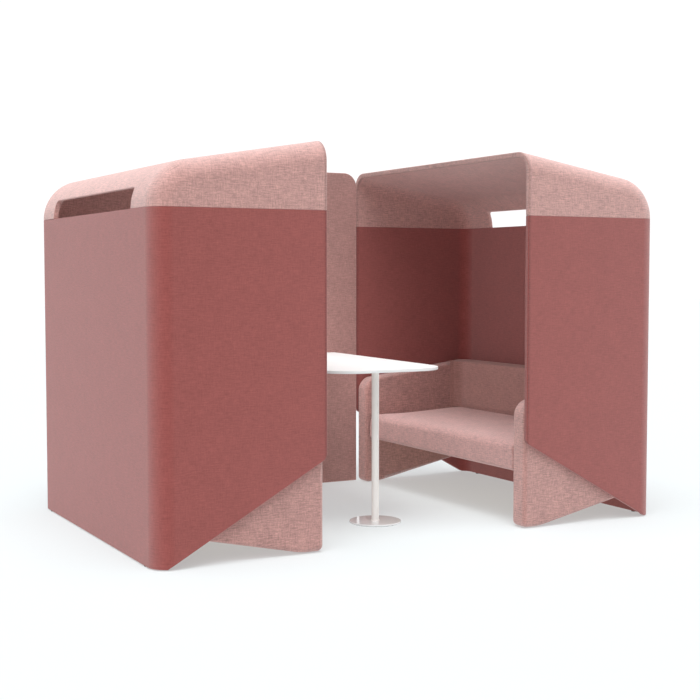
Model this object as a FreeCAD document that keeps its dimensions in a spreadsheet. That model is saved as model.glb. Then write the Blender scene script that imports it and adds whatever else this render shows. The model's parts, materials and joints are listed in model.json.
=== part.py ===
import FreeCAD, Part
import math
import os
import Sketcher

# Four-seat hooded meeting booth: two facing sofa pods, a linking screen along the far side, and a table between
# the pods on one pedestal leg. Millimetres, Z up. X runs from the left pod to the right pod and Y from the open
# near side to the linking screen. The origin is on the floor under the middle of the whole booth.
# Each pod piece is drawn for the right pod. The left pod is the same piece turned half a turn about Z.

SIZES = {
    "overall_length": 2600,
    "overall_width": 1674,
    "panel_thickness": 24,
    "corner_radius": 90,
    "corner_return": 40,
    "pod_front": 523,
    "floor_gap": 5,
    "seam_height": 1466,
    "seam_bevel": 2,
    "edge_bevel": 4,
    "cut_front_height": 409,
    "cut_back_distance": 47,
    "cut_corner_round": 18,
    "roof_height": 1765,
    "roof_slope": 0.168,
    "roof_back_radius": 192,
    "slot_half_width": 575,
    "slot_height": 85,
    "slot_corner_round": 20,
    "arm_thickness": 99,
    "arm_front_height": 595,
    "arm_back_height": 688,
    "arm_corner_round": 68,
    "arm_edge_round": 14,
    "foot_bend": 260,
    "foot_length": 102,
    "foot_rise": 0.22,
    "foot_corner_round": 15,
    "soft_gap": 3,
    "seat_front": 531,
    "seat_back": 1258,
    "seat_bottom": 260,
    "seat_top": 398,
    "seat_crown": 8,
    "seat_front_round": 42,
    "seat_board_front": 588,
    "seat_board_bottom": 280,
    "seat_board_thickness": 18,
    "rail_thickness": 38,
    "rail_height": 36,
    "rail_front": 605,
    "rail_length": 620,
    "rail_screw_front": 700,
    "rail_screw_rear": 1120,
    "rail_screw_length": 58,
    "backrest_front": 1150,
    "backrest_bottom": 406,
    "backrest_top": 694,
    "backrest_wing_reach": 72,
    "backrest_wing_thickness": 4,
    "backrest_corner_round": 70,
    "backrest_edge_round": 11,
    "backrest_board_thickness": 12,
    "backrest_board_half_width": 690,
    "backrest_board_bottom": 310,
    "backrest_board_top": 660,
    "glide_across": 11,
    "glide_height": 4.6,
    "glide_stem_radius": 4,
    "glide_stem_length": 26,
    "glide_play": 0.3,
    "glide_insert_radius": 5.8,
    "glide_insert_length": 30,
    "front_glide_setback": 52,
    "rear_glide_half_spacing": 700,
    "dowel_radius": 5,
    "dowel_length": 56,
    "dowel_front": 650,
    "dowel_rear": 1110,
    "dowel_back_half_spacing": 660,
    "link_half_length": 519,
    "link_thickness": 28,
    "link_height": 1768,
    "link_corner_round": 78,
    "link_plate_half_length": 66,
    "link_plate_height": 60,
    "link_plate_thickness": 3,
    "link_plate_recess": 6,
    "link_plate_low": 640,
    "link_plate_high": 1320,
    "link_screw_offset": 36,
    "link_screw_length": 14,
    "table_height": 750,
    "table_thickness": 14,
    "table_bevel": 3,
    "table_near_edge": 500,
    "table_near_half_width": 316,
    "table_far_half_width": 374,
    "table_corner_round": 170,
    "table_wall_gap": 4,
    "table_leg_radius": 19,
    "table_leg_wall": 2,
    "table_leg_setback": 328,
    "table_base_radius": 125,
    "table_base_thickness": 8,
    "table_base_bevel": 2,
    "base_pad_radius": 120,
    "base_pad_thickness": 2,
    "mounting_plate_half_side": 100,
    "mounting_plate_thickness": 5,
    "mounting_screw_inset": 18,
    "table_screw_length": 13,
    "wall_bracket_half_length": 200,
    "wall_bracket_leg": 40,
    "wall_bracket_thickness": 3,
    "bracket_top_screw_offset": 150,
    "bracket_wall_screw_offset": 120,
    "bracket_wall_screw_length": 18,
    "bracket_screw_setback": 24,
    "screw_shank_radius": 2,
    "screw_head_radius": 4,
    "screw_head_height": 2.5,
    "screw_play": 0.25,
}

doc = FreeCAD.newDocument("MeetingBooth")
sheet = doc.addObject("Spreadsheet::Sheet", "Sizes")
for row, (alias, value) in enumerate(SIZES.items(), start=1):
    sheet.set("A%d" % row, alias)
    sheet.set("B%d" % row, str(value))
    sheet.setAlias("B%d" % row, alias)
doc.recompute()

NEAR = 0.05
HALF_TURN = FreeCAD.Placement(FreeCAD.Vector(0, 0, 0), FreeCAD.Rotation(FreeCAD.Vector(0, 0, 1), 180))
UPWARD = FreeCAD.Rotation()
PODS = {"right": {"near": -1, "far": 1}, "left": {"near": 1, "far": -1}}
finished = []


# Sheet expressions that several pieces share
HALF_LENGTH = "(Sizes.overall_length / 2)"
HALF_WIDTH = "(Sizes.overall_width / 2)"
INNER_BACK = "(Sizes.overall_length / 2 - Sizes.panel_thickness)"
INNER_SIDE = "(Sizes.overall_width / 2 - Sizes.panel_thickness)"
ARM_INNER = "(Sizes.overall_width / 2 - Sizes.panel_thickness - Sizes.arm_thickness)"
CORNER_START = "(Sizes.overall_length / 2 - Sizes.corner_radius - Sizes.corner_return)"
CUT_END = "(Sizes.overall_length / 2 - Sizes.cut_back_distance)"
CUT_SLOPE = "(Sizes.cut_front_height / (%s - Sizes.pod_front))" % CUT_END
LINK_NEAR = "(Sizes.overall_width / 2 - Sizes.link_thickness)"
TABLE_UNDER = "(Sizes.table_height - Sizes.table_thickness)"


def size(alias):
    """The number that the sheet holds for a named size."""
    return float(getattr(sheet, alias))


HALF_LENGTH_MM = size("overall_length") / 2
HALF_WIDTH_MM = size("overall_width") / 2
INNER_BACK_MM = HALF_LENGTH_MM - size("panel_thickness")
INNER_SIDE_MM = HALF_WIDTH_MM - size("panel_thickness")
ARM_INNER_MM = INNER_SIDE_MM - size("arm_thickness")
LINK_NEAR_MM = HALF_WIDTH_MM - size("link_thickness")


def finish(piece, label, pod="right"):
    """Names a finished piece and turns it round where it belongs to the left pod."""
    piece.Label = label
    if pod == "left":
        piece.Placement = HALF_TURN
    finished.append(piece)


def new_body(name):
    return doc.addObject("PartDesign::Body", name)


def outline(body, name, plane_role, points, offset="0"):
    """A closed outline of straight lines whose corners are given as pairs of sheet expressions."""
    sketch = body.newObject("Sketcher::SketchObject", name)
    plane = [item for item in body.Origin.OriginFeatures if item.Role == plane_role][0]
    sketch.AttachmentSupport = [(plane, "")]
    sketch.MapMode = "FlatFace"
    sketch.setExpression("AttachmentOffset.Base.z", offset)
    count = len(points)
    start = []
    for index in range(count):
        angle = 2 * math.pi * index / count
        start.append(FreeCAD.Vector(500 * math.cos(angle), 500 * math.sin(angle), 0))
    for index in range(count):
        sketch.addGeometry(Part.LineSegment(start[index], start[(index + 1) % count]))
    for index in range(count):
        sketch.addConstraint(Sketcher.Constraint("Coincident", index, 2, (index + 1) % count, 1))
    for index, (across, along) in enumerate(points):
        place = sketch.addConstraint(Sketcher.Constraint("DistanceX", -1, 1, index, 1, start[index].x))
        sketch.setExpression("Constraints[%d]" % place, across)
        place = sketch.addConstraint(Sketcher.Constraint("DistanceY", -1, 1, index, 1, start[index].y))
        sketch.setExpression("Constraints[%d]" % place, along)
    return sketch


def pad(body, name, sketch, length, middle=False):
    feature = body.newObject("PartDesign::Pad", name)
    feature.Profile = sketch
    feature.setExpression("Length", length)
    if middle:
        feature.SideType = "Symmetric"
    doc.recompute()
    return feature


def pocket(body, name, sketch, length):
    """Cuts an outline out of the body, the same distance to both sides of its plane."""
    before = body.Shape.Volume
    feature = body.newObject("PartDesign::Pocket", name)
    feature.Profile = sketch
    feature.setExpression("Length", length)
    feature.SideType = "Symmetric"
    doc.recompute()
    if body.Shape.Volume > before - 1:
        raise RuntimeError("%s removes nothing" % name)
    return feature


def lies(edge, **where):
    """True where the whole edge has the given x, y or z."""
    box = edge.BoundBox
    spans = {"x": (box.XMin, box.XMax), "y": (box.YMin, box.YMax), "z": (box.ZMin, box.ZMax)}
    for axis, value in where.items():
        low, high = spans[axis]
        if abs(low - value) > NEAR or abs(high - value) > NEAR:
            return False
    return True


def soften(body, name, kind, amount, chosen):
    """Rounds or bevels the edges of a body that a test picks."""
    base = body.Tip
    names = []
    for index, edge in enumerate(base.Shape.Edges, start=1):
        if chosen(edge):
            names.append("Edge%d" % index)
    if not names:
        raise RuntimeError("%s finds no edge" % name)
    feature = body.newObject("PartDesign::%s" % kind, name)
    feature.Base = (base, names)
    feature.setExpression("Radius" if kind == "Fillet" else "Size", amount)
    doc.recompute()
    if feature.Shape.isNull() or not feature.Shape.isValid():
        raise RuntimeError("%s fails" % name)
    return feature


def box(name, sizes, corner):
    """A block bound to the sheet by its three sizes and its lowest corner."""
    block = doc.addObject("Part::Box", name)
    for prop, amount in zip(("Length", "Width", "Height"), sizes):
        block.setExpression(prop, amount)
    for axis, amount in zip("xyz", corner):
        block.setExpression("Placement.Base.%s" % axis, amount)
    return block


def rod(name, radius, height, base, turn=UPWARD):
    """A cylinder whose radius and height are sheet expressions, standing on a point."""
    cylinder = doc.addObject("Part::Cylinder", name)
    cylinder.setExpression("Radius", radius)
    cylinder.setExpression("Height", height)
    cylinder.Placement = FreeCAD.Placement(FreeCAD.Vector(*base), turn)
    return cylinder


def bar(name, sides, radius, height, base, turn=UPWARD):
    """A many-sided bar, for small round pieces and their holes."""
    prism = doc.addObject("Part::Prism", name)
    prism.Polygon = sides
    prism.setExpression("Circumradius", radius)
    prism.setExpression("Height", height)
    prism.Placement = FreeCAD.Placement(FreeCAD.Vector(*base), turn)
    return prism


def cut(name, base, tools):
    """One piece less one or more cutting solids."""
    if len(tools) > 1:
        tool = doc.addObject("Part::Compound", name + "_cutters")
        tool.Links = tools
    else:
        tool = tools[0]
    result = doc.addObject("Part::Cut", name)
    result.Base = base
    result.Tool = tool
    doc.recompute()
    if result.Shape.Volume > base.Shape.Volume - 1:
        raise RuntimeError("%s removes nothing" % name)
    return result


def group(name, members):
    """Like pieces held together as one node of separate solids."""
    gathered = doc.addObject("Part::Compound", name)
    gathered.Links = members
    return gathered


def facing(x, y, z):
    """The turn that lays a cylinder's axis along a direction."""
    return FreeCAD.Rotation(FreeCAD.Vector(0, 0, 1), FreeCAD.Vector(x, y, z))


def screw(name, seat, way, length):
    """A hexagon-headed screw: its head lies on the seat and its shank runs on along the way."""
    turn = facing(*way)
    back = FreeCAD.Vector(*way) * -size("screw_head_height")
    start = FreeCAD.Vector(*seat) + back
    head = bar(name + "_head", 6, "Sizes.screw_head_radius", "Sizes.screw_head_height", start, turn)
    shank = bar(name + "_shank", 6, "Sizes.screw_shank_radius", str(length), seat, turn)
    joined = doc.addObject("Part::Fuse", name)
    joined.Base = head
    joined.Tool = shank
    return joined


def screw_hole(name, seat, way, length):
    return bar(name, 6, "Sizes.screw_shank_radius + Sizes.screw_play", str(length + 1), seat, facing(*way))


def glide_spot(where):
    """Where a pod's levelling glide stands, for a front or a rear one, on the positive side."""
    if where == "front":
        return size("pod_front") + size("front_glide_setback"), INNER_SIDE_MM - size("arm_thickness") / 2
    return HALF_LENGTH_MM - size("panel_thickness") / 2, size("rear_glide_half_spacing")


def glide_bore(name, where, sign):
    x, y = glide_spot(where)
    base = (x, sign * y, size("floor_gap") - 1)
    radius = "Sizes.glide_insert_radius + Sizes.screw_play"
    return bar(name, 8, radius, "Sizes.glide_insert_length + 2", base)


def dowel_spots():
    """The dowels that hold a hood down: two on each side wall and one at each end of the back wall."""
    wall_middle = size("panel_thickness") / 2
    spots = []
    for sign in (-1, 1):
        for x in (size("dowel_front"), size("dowel_rear")):
            spots.append((x, sign * (HALF_WIDTH_MM - wall_middle)))
        spots.append((HALF_LENGTH_MM - wall_middle, sign * size("dowel_back_half_spacing")))
    return spots


def dowel_bores(name, spots):
    bores = []
    for index, (x, y) in enumerate(spots):
        base = (x, y, size("seam_height") - size("dowel_length") / 2 - 1)
        radius = "Sizes.dowel_radius + Sizes.screw_play"
        bores.append(bar("%s_%d" % (name, index), 8, radius, "Sizes.dowel_length + 2", base))
    return bores


def plate_heights():
    return (size("link_plate_low"), size("link_plate_high"))


def plate_recess(name, sign, height):
    """The shallow recess that a pair of joining plates lies in, on the outer face of the far wall."""
    depth = "Sizes.link_plate_recess"
    sizes = ("2 * Sizes.link_plate_half_length + 2", depth + " + 1", "Sizes.link_plate_height + 2")
    middle = "(Sizes.pod_front + Sizes.link_half_length) / 2"
    corner_y = "%s - %s" % (HALF_WIDTH, depth)
    if sign < 0:
        corner_y = "0 - %s - 1" % HALF_WIDTH
    corner = ("%s - Sizes.link_plate_half_length - 1" % middle, corner_y, "%g - 1" % height)
    return box(name, sizes, corner)


def plate_screw_spots(sign):
    """Seats of the screws in one pod's pair of joining plates, in the frame of the right pod."""
    middle = (size("pod_front") + size("link_half_length")) / 2
    face = HALF_WIDTH_MM - size("link_plate_recess") + size("link_plate_thickness")
    spots = []
    for height in plate_heights():
        for way in (-1, 1):
            x = middle + way * size("link_screw_offset")
            spots.append((x, sign * face, height + size("link_plate_height") / 2))
    return spots


def rail_screw_spots(sign):
    """Seats of the screws that hold one seat rail to its leg panel."""
    height = size("seat_board_bottom") - size("rail_height") / 2
    face = sign * (ARM_INNER_MM - size("rail_thickness"))
    return [(size("rail_screw_front"), face, height), (size("rail_screw_rear"), face, height)]


# Pieces of one pod

def side_screen(pod, side, sign):
    """A thin upright side wall whose foot is cut away on a slant towards the back."""
    name = "%s_%s_side_screen" % (pod, side)
    body = new_body(name + "_blank")
    corner_height = "%s * (%s - %s)" % (CUT_SLOPE, CUT_END, CORNER_START)
    points = [
        ("Sizes.pod_front", "Sizes.cut_front_height"),
        (CORNER_START, corner_height),
        (CORNER_START, "Sizes.seam_height"),
        ("Sizes.pod_front", "Sizes.seam_height"),
    ]
    offset = "0 - %s" % HALF_WIDTH if sign > 0 else INNER_SIDE
    sketch = outline(body, name + "_outline", "XZ_Plane", points, offset)
    pad(body, name + "_pad", sketch, "Sizes.panel_thickness")
    front = size("pod_front")
    soften(body, name + "_cut_corner", "Fillet", "Sizes.cut_corner_round",
           lambda edge: lies(edge, x=front, z=size("cut_front_height")))

    def on_open_edge(edge):
        if lies(edge, y=sign * HALF_WIDTH_MM) or lies(edge, y=sign * INNER_SIDE_MM):
            slanted = edge.BoundBox.XLength > 1 and edge.BoundBox.ZLength > 1
            return slanted or lies(edge, x=front)
        return False

    soften(body, name + "_bevel", "Chamfer", "Sizes.edge_bevel", on_open_edge)
    outer = sign * HALF_WIDTH_MM
    soften(body, name + "_seam", "Chamfer", "Sizes.seam_bevel",
           lambda edge: lies(edge, y=outer, z=size("seam_height")))
    own_spots = [(x, y) for x, y in dowel_spots() if y * sign > 0 and x < INNER_BACK_MM]
    cutters = dowel_bores(name + "_bore", own_spots)
    if side == "far":
        for index, height in enumerate(plate_heights()):
            cutters.append(plate_recess("%s_recess_%d" % (name, index), sign, height))
        for index, spot in enumerate(plate_screw_spots(sign)):
            hole_name = "%s_hole_%d" % (name, index)
            cutters.append(screw_hole(hole_name, spot, (0, -sign, 0), size("link_screw_length")))
    finish(cut(name, body, cutters), name, pod)


def back_screen(pod):
    """The back wall with its two rounded corners, standing on the floor glides."""
    name = pod + "_back_screen"
    body = new_body(name + "_blank")
    points = [
        (CORNER_START, "0 - " + HALF_WIDTH),
        (HALF_LENGTH, "0 - " + HALF_WIDTH),
        (HALF_LENGTH, HALF_WIDTH),
        (CORNER_START, HALF_WIDTH),
    ]
    sketch = outline(body, name + "_outline", "XY_Plane", points, "Sizes.floor_gap")
    pad(body, name + "_pad", sketch, "Sizes.seam_height - Sizes.floor_gap")
    inside = [
        ("%s - 50" % CORNER_START, "0 - " + INNER_SIDE),
        (INNER_BACK, "0 - " + INNER_SIDE),
        (INNER_BACK, INNER_SIDE),
        ("%s - 50" % CORNER_START, INNER_SIDE),
    ]
    sketch = outline(body, name + "_inside", "XY_Plane", inside)
    pocket(body, name + "_hollow", sketch, "3 * Sizes.seam_height")
    soften(body, name + "_inner_corners", "Fillet", "Sizes.corner_radius - Sizes.panel_thickness",
           lambda edge: lies(edge, x=INNER_BACK_MM) and edge.BoundBox.ZLength > 100)
    soften(body, name + "_corners", "Fillet", "Sizes.corner_radius",
           lambda edge: lies(edge, x=HALF_LENGTH_MM) and edge.BoundBox.ZLength > 100)
    slant = [
        ("%s - 40" % CORNER_START, "0 - 30"),
        ("%s + 30 / %s" % (CUT_END, CUT_SLOPE), "0 - 30"),
        ("%s - 40" % CORNER_START, "%s * (%s - %s + 40)" % (CUT_SLOPE, CUT_END, CORNER_START)),
    ]
    sketch = outline(body, name + "_slant", "XZ_Plane", slant)
    pocket(body, name + "_cut", sketch, "2 * Sizes.overall_width")
    soften(body, name + "_seam", "Chamfer", "Sizes.seam_bevel",
           lambda edge: lies(edge, z=size("seam_height")) and edge.BoundBox.XMax > INNER_BACK_MM + 5)
    cutters = dowel_bores(name + "_bore", [(x, y) for x, y in dowel_spots() if x > INNER_BACK_MM])
    for sign in (-1, 1):
        cutters.append(glide_bore("%s_glide_bore_%d" % (name, sign + 1), "rear", sign))
    finish(cut(name, body, cutters), name, pod)


def hood(pod):
    """The cap over a pod: sloping roof, rounded back and sides, and a long low slot through its back wall."""
    name = pod + "_hood"
    body = new_body(name + "_blank")
    lean = "sqrt(1 + Sizes.roof_slope ^ 2)"

    def roof(x, below="0"):
        return "Sizes.roof_height - Sizes.roof_slope * (%s - Sizes.pod_front) - %s * %s" % (x, below, lean)

    points = [
        ("Sizes.pod_front", "Sizes.seam_height"),
        (HALF_LENGTH, "Sizes.seam_height"),
        (HALF_LENGTH, roof(HALF_LENGTH)),
        ("Sizes.pod_front", "Sizes.roof_height"),
    ]
    sketch = outline(body, name + "_outline", "XZ_Plane", points)
    pad(body, name + "_pad", sketch, "Sizes.overall_width", middle=True)

    def along_side(edge, half_width, front):
        on_side = lies(edge, y=half_width) or lies(edge, y=-half_width)
        low = edge.BoundBox.ZMax < size("seam_height") + 1
        return on_side and not low and not lies(edge, x=front)

    inside = [
        ("Sizes.pod_front - 50", "Sizes.seam_height - 50"),
        (INNER_BACK, "Sizes.seam_height - 50"),
        (INNER_BACK, roof(INNER_BACK, "Sizes.panel_thickness")),
        ("Sizes.pod_front - 50", roof("(Sizes.pod_front - 50)", "Sizes.panel_thickness")),
    ]
    sketch = outline(body, name + "_inside", "XZ_Plane", inside)
    pocket(body, name + "_hollow", sketch, "2 * " + INNER_SIDE)
    soften(body, name + "_inner_back_curve", "Fillet", "Sizes.roof_back_radius - Sizes.panel_thickness",
           lambda edge: edge.BoundBox.YLength > 100 and lies(edge, x=INNER_BACK_MM)
           and edge.BoundBox.ZMin > size("seam_height") + 20)
    soften(body, name + "_inner_side_curve", "Fillet", "Sizes.corner_radius - Sizes.panel_thickness",
           lambda edge: along_side(edge, INNER_SIDE_MM, size("pod_front")))
    soften(body, name + "_back_curve", "Fillet", "Sizes.roof_back_radius",
           lambda edge: edge.BoundBox.YLength > 100 and lies(edge, x=HALF_LENGTH_MM)
           and edge.BoundBox.ZMin > size("seam_height") + 20)
    soften(body, name + "_side_curve", "Fillet", "Sizes.corner_radius",
           lambda edge: along_side(edge, HALF_WIDTH_MM, size("pod_front")))
    soften(body, name + "_front_bevel", "Chamfer", "Sizes.edge_bevel",
           lambda edge: lies(edge, x=size("pod_front")) and edge.BoundBox.ZMax > size("seam_height") + 1)

    def outer_foot(edge):
        outer = edge.BoundBox.XMax > INNER_BACK_MM + 5 or abs(edge.BoundBox.YMax + edge.BoundBox.YMin) > (
            2 * HALF_WIDTH_MM - 1)
        return lies(edge, z=size("seam_height")) and outer

    soften(body, name + "_seam", "Chamfer", "Sizes.seam_bevel", outer_foot)
    window = [
        ("0 - Sizes.slot_half_width", "Sizes.seam_height - 30"),
        ("Sizes.slot_half_width", "Sizes.seam_height - 30"),
        ("Sizes.slot_half_width", "Sizes.seam_height + Sizes.slot_height"),
        ("0 - Sizes.slot_half_width", "Sizes.seam_height + Sizes.slot_height"),
    ]
    sketch = outline(body, name + "_window", "YZ_Plane", window, HALF_LENGTH)
    pocket(body, name + "_slot", sketch, "6 * Sizes.panel_thickness")
    slot_top = size("seam_height") + size("slot_height")
    soften(body, name + "_slot_corners", "Fillet", "Sizes.slot_corner_round",
           lambda edge: lies(edge, z=slot_top) and edge.BoundBox.YLength < 1)
    finish(cut(name, body, dowel_bores(name + "_bore", dowel_spots())), name, pod)


def closed_wire(steps, y):
    """A closed slice at one Y through corners given as (x, z); a corner that follows an arc also has its middle."""
    spots = [FreeCAD.Vector(x, y, z) for x, z, _ in steps]
    edges = []
    for index, (_, _, through) in enumerate(steps):
        last = spots[index - 1]
        if through is None:
            edges.append(Part.LineSegment(last, spots[index]).toShape())
        else:
            middle = FreeCAD.Vector(through[0], y, through[1])
            edges.append(Part.Arc(last, middle, spots[index]).toShape())
    return Part.Wire(edges)


def leg_section(y, inset, back):
    """One upright slice of a leg panel, drawn in all round its front and top by an inset."""
    half = math.sqrt(0.5)
    front = size("pod_front") + inset
    floor = size("floor_gap") + inset / 2
    slope = (size("arm_back_height") - size("arm_front_height")) / (size("backrest_front") - size("pod_front"))
    top_bend = size("arm_corner_round") - inset
    foot_bend = size("foot_corner_round")
    top_back = size("arm_back_height") - inset
    bend_end = front + top_bend
    bend_top = size("arm_front_height") - inset + slope * (bend_end - size("pod_front"))
    foot_end = size("pod_front") + size("foot_length")
    rise_angle = math.atan(size("foot_rise"))
    reach = size("foot_bend") * math.tan(rise_angle / 2)
    half_rise = size("foot_bend") * (1 - math.cos(rise_angle / 2))
    bend_middle_x = foot_end - reach + size("foot_bend") * math.sin(rise_angle / 2)
    rise_start = (foot_end + reach * math.cos(rise_angle), floor + reach * math.sin(rise_angle))
    rise_end = rise_start[1] + size("foot_rise") * (back - rise_start[0])
    corner = top_bend * (1 - half)
    foot_corner = foot_bend * (1 - half)
    steps = [
        (front, floor + foot_bend, (front + foot_corner, floor + foot_corner)),
        (front, bend_top - top_bend, None),
        (bend_end, bend_top, (front + corner, bend_top - corner + slope * 4)),
        (size("backrest_front"), top_back, None),
        (back, top_back, None),
        (back, rise_end, None),
        (rise_start[0], rise_start[1], None),
        (foot_end - reach, floor, (bend_middle_x, floor + half_rise)),
        (front + foot_bend, floor, None),
    ]
    return closed_wire(steps, y)


def leg_panel(pod, side, sign):
    """A thick padded panel that is armrest and leg in one, lofted through slices from face to face.
    It stands on a short foot, rises to the back, and its outer back corner follows the rounded wall."""
    name = "%s_%s_leg_panel" % (pod, side)
    thick = size("arm_thickness")
    bend = size("arm_edge_round")
    wall_bend = size("corner_radius") - size("panel_thickness") - size("glide_play")
    back_middle = INNER_BACK_MM - size("glide_play") - wall_bend
    wires = []
    for depth in (0, bend * 0.2, bend * 0.7, bend * 1.7, wall_bend, thick - bend * 0.7, thick - bend * 0.2, thick):
        near_face = min(depth, thick - depth, bend)
        inset = 0.55 * (bend - math.sqrt(bend ** 2 - (bend - near_face) ** 2))
        bow = max(wall_bend - depth, 0)
        back = back_middle + math.sqrt(wall_bend ** 2 - bow ** 2)
        wires.append(leg_section(sign * (INNER_SIDE_MM - depth), inset, back))
    padded = doc.addObject("Part::Feature", name + "_blank")
    padded.Shape = Part.makeLoft(wires, True, True)
    cutters = [glide_bore(name + "_glide_bore", "front", sign)]
    for index, (x, y, z) in enumerate(rail_screw_spots(sign)):
        hole_name = "%s_hole_%d" % (name, index)
        cutters.append(screw_hole(hole_name, (x, y, z), (0, sign, 0), size("rail_screw_length")))
    finish(cut(name, padded, cutters), name, pod)


def seat_section(y, drop, draw):
    """One upright slice of the seat cushion: rounded front, crowned top and a step over the seat board."""
    front = size("seat_front") + draw
    back = size("seat_back") - draw
    base = size("seat_bottom") + draw
    top = size("seat_top") - drop
    bend = size("seat_front_round")
    back_bend = bend / 2
    step = size("seat_board_bottom") + size("seat_board_thickness") + size("glide_play")
    step_front = size("seat_board_front") - size("soft_gap")
    half = math.sqrt(0.5)
    crown = size("seat_crown") - drop / 2
    middle = (front + back) / 2 - 60
    steps = [
        (front, base, None),
        (front, top - bend, (front - 3, (base + top - bend) / 2)),
        (front + bend, top, (front + bend * (1 - half), top - bend * (1 - half))),
        (back - back_bend, top, (middle, top + crown)),
        (back, top - back_bend, (back - back_bend * (1 - half), top - back_bend * (1 - half))),
        (back, step, None),
        (step_front, step, None),
        (step_front, base, None),
    ]
    return closed_wire(steps, y)


def seat_cushion(pod):
    """The seat: one soft block lofted through slices, highest in the middle and drawn in at both ends."""
    name = pod + "_seat_cushion"
    half = ARM_INNER_MM - size("soft_gap")
    stations = [(-half, 15, 13), (-half + 7, 7, 5), (-half + 30, 0, 0)]
    stations += [(-y, drop, draw) for y, drop, draw in reversed(stations)]
    wires = [seat_section(y, drop, draw) for y, drop, draw in stations]
    cushion = doc.addObject("Part::Feature", name)
    cushion.Shape = Part.makeLoft(wires, True, True)
    finish(cushion, name, pod)


def backrest_section(z, inset):
    """One level slice of the back band: flat behind, with hollow corners at both ends of its front."""
    half = math.sqrt(0.5)
    back = INNER_BACK_MM - size("backrest_board_thickness") - size("glide_play")
    end = ARM_INNER_MM - size("soft_gap") / 3
    front = size("backrest_front") + inset
    taper = 1 - inset / (2 * size("backrest_edge_round"))
    shoulder = end - size("backrest_wing_thickness") * taper
    bend = size("backrest_corner_round") + inset
    tip = front - size("backrest_wing_reach")
    turn = front - bend
    hollow = turn + bend * half
    side = shoulder - bend + bend * half
    corners = [
        (back, -end, None), (back, end, None), (tip, end, None), (tip, shoulder, None), (turn, shoulder, None),
        (front, shoulder - bend, (hollow, side)), (front, bend - shoulder, None),
        (turn, -shoulder, (hollow, -side)), (tip, -shoulder, None), (tip, -end, None),
    ]
    edges = []
    for index, (x, y, through) in enumerate(corners):
        last = FreeCAD.Vector(corners[index - 1][0], corners[index - 1][1], z)
        spot = FreeCAD.Vector(x, y, z)
        if through is None:
            edges.append(Part.LineSegment(last, spot).toShape())
        else:
            edges.append(Part.Arc(last, FreeCAD.Vector(through[0], through[1], z), spot).toShape())
    return Part.Wire(edges)


def backrest_cushion(pod):
    """The padded back band, with hollow corners that lead round into the arms and a rounded top and foot."""
    name = pod + "_backrest_cushion"
    bend = size("backrest_edge_round")
    low = size("backrest_bottom")
    high = size("backrest_top")
    levels = [(low, bend * 0.6), (low + bend * 0.3, bend * 0.2), (low + bend, 0)]
    levels += [(high - bend, 0), (high - bend * 0.3, bend * 0.2), (high, bend * 0.6)]
    cushion = doc.addObject("Part::Feature", name)
    cushion.Shape = Part.makeLoft([backrest_section(z, inset) for z, inset in levels], True, True)
    finish(cushion, name, pod)


def seat_board(pod):
    """The plywood board that the seat rests on, carried on the rails at both ends."""
    name = pod + "_seat_board"
    body = new_body(name)
    half = "(%s - Sizes.soft_gap / 3)" % ARM_INNER
    points = [
        ("Sizes.seat_board_front", "0 - " + half),
        ("Sizes.seat_back", "0 - " + half),
        ("Sizes.seat_back", half),
        ("Sizes.seat_board_front", half),
    ]
    sketch = outline(body, name + "_outline", "XY_Plane", points, "Sizes.seat_board_bottom")
    pad(body, name + "_pad", sketch, "Sizes.seat_board_thickness")
    finish(body, name, pod)


def seat_rail(pod, side, sign):
    """A batten on the inside of a leg panel that carries one end of the seat board."""
    name = "%s_%s_seat_rail" % (pod, side)
    corner_y = "%s - Sizes.rail_thickness" % ARM_INNER if sign > 0 else "0 - " + ARM_INNER
    sizes = ("Sizes.rail_length", "Sizes.rail_thickness", "Sizes.rail_height")
    corner = ("Sizes.rail_front", corner_y, "Sizes.seat_board_bottom - Sizes.rail_height")
    block = box(name + "_blank", sizes, corner)
    cutters = []
    for index, spot in enumerate(rail_screw_spots(sign)):
        hole_name = "%s_hole_%d" % (name, index)
        cutters.append(screw_hole(hole_name, spot, (0, sign, 0), size("rail_screw_length")))
    finish(cut(name, block, cutters), name, pod)


def rail_screws(pod):
    name = pod + "_rail_screws"
    members = []
    for sign in (-1, 1):
        for index, spot in enumerate(rail_screw_spots(sign)):
            screw_name = "%s_%d_%d" % (name, sign + 1, index)
            members.append(screw(screw_name, spot, (0, sign, 0), size("rail_screw_length")))
    finish(group(name, members), name, pod)


def backrest_board(pod):
    """The board behind the back band, fixed flat on the back wall."""
    name = pod + "_backrest_board"
    body = new_body(name)
    half = "Sizes.backrest_board_half_width"
    front = "(%s - Sizes.backrest_board_thickness)" % INNER_BACK
    points = [
        (front, "0 - " + half),
        (INNER_BACK, "0 - " + half),
        (INNER_BACK, half),
        (front, half),
    ]
    sketch = outline(body, name + "_outline", "XY_Plane", points, "Sizes.backrest_board_bottom")
    pad(body, name + "_pad", sketch, "Sizes.backrest_board_top - Sizes.backrest_board_bottom")
    finish(body, name, pod)


def hood_dowels(pod):
    name = pod + "_hood_dowels"
    members = []
    for index, (x, y) in enumerate(dowel_spots()):
        base = (x, y, size("seam_height") - size("dowel_length") / 2)
        members.append(bar("%s_%d" % (name, index), 8, "Sizes.dowel_radius", "Sizes.dowel_length", base))
    finish(group(name, members), name, pod)


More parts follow.
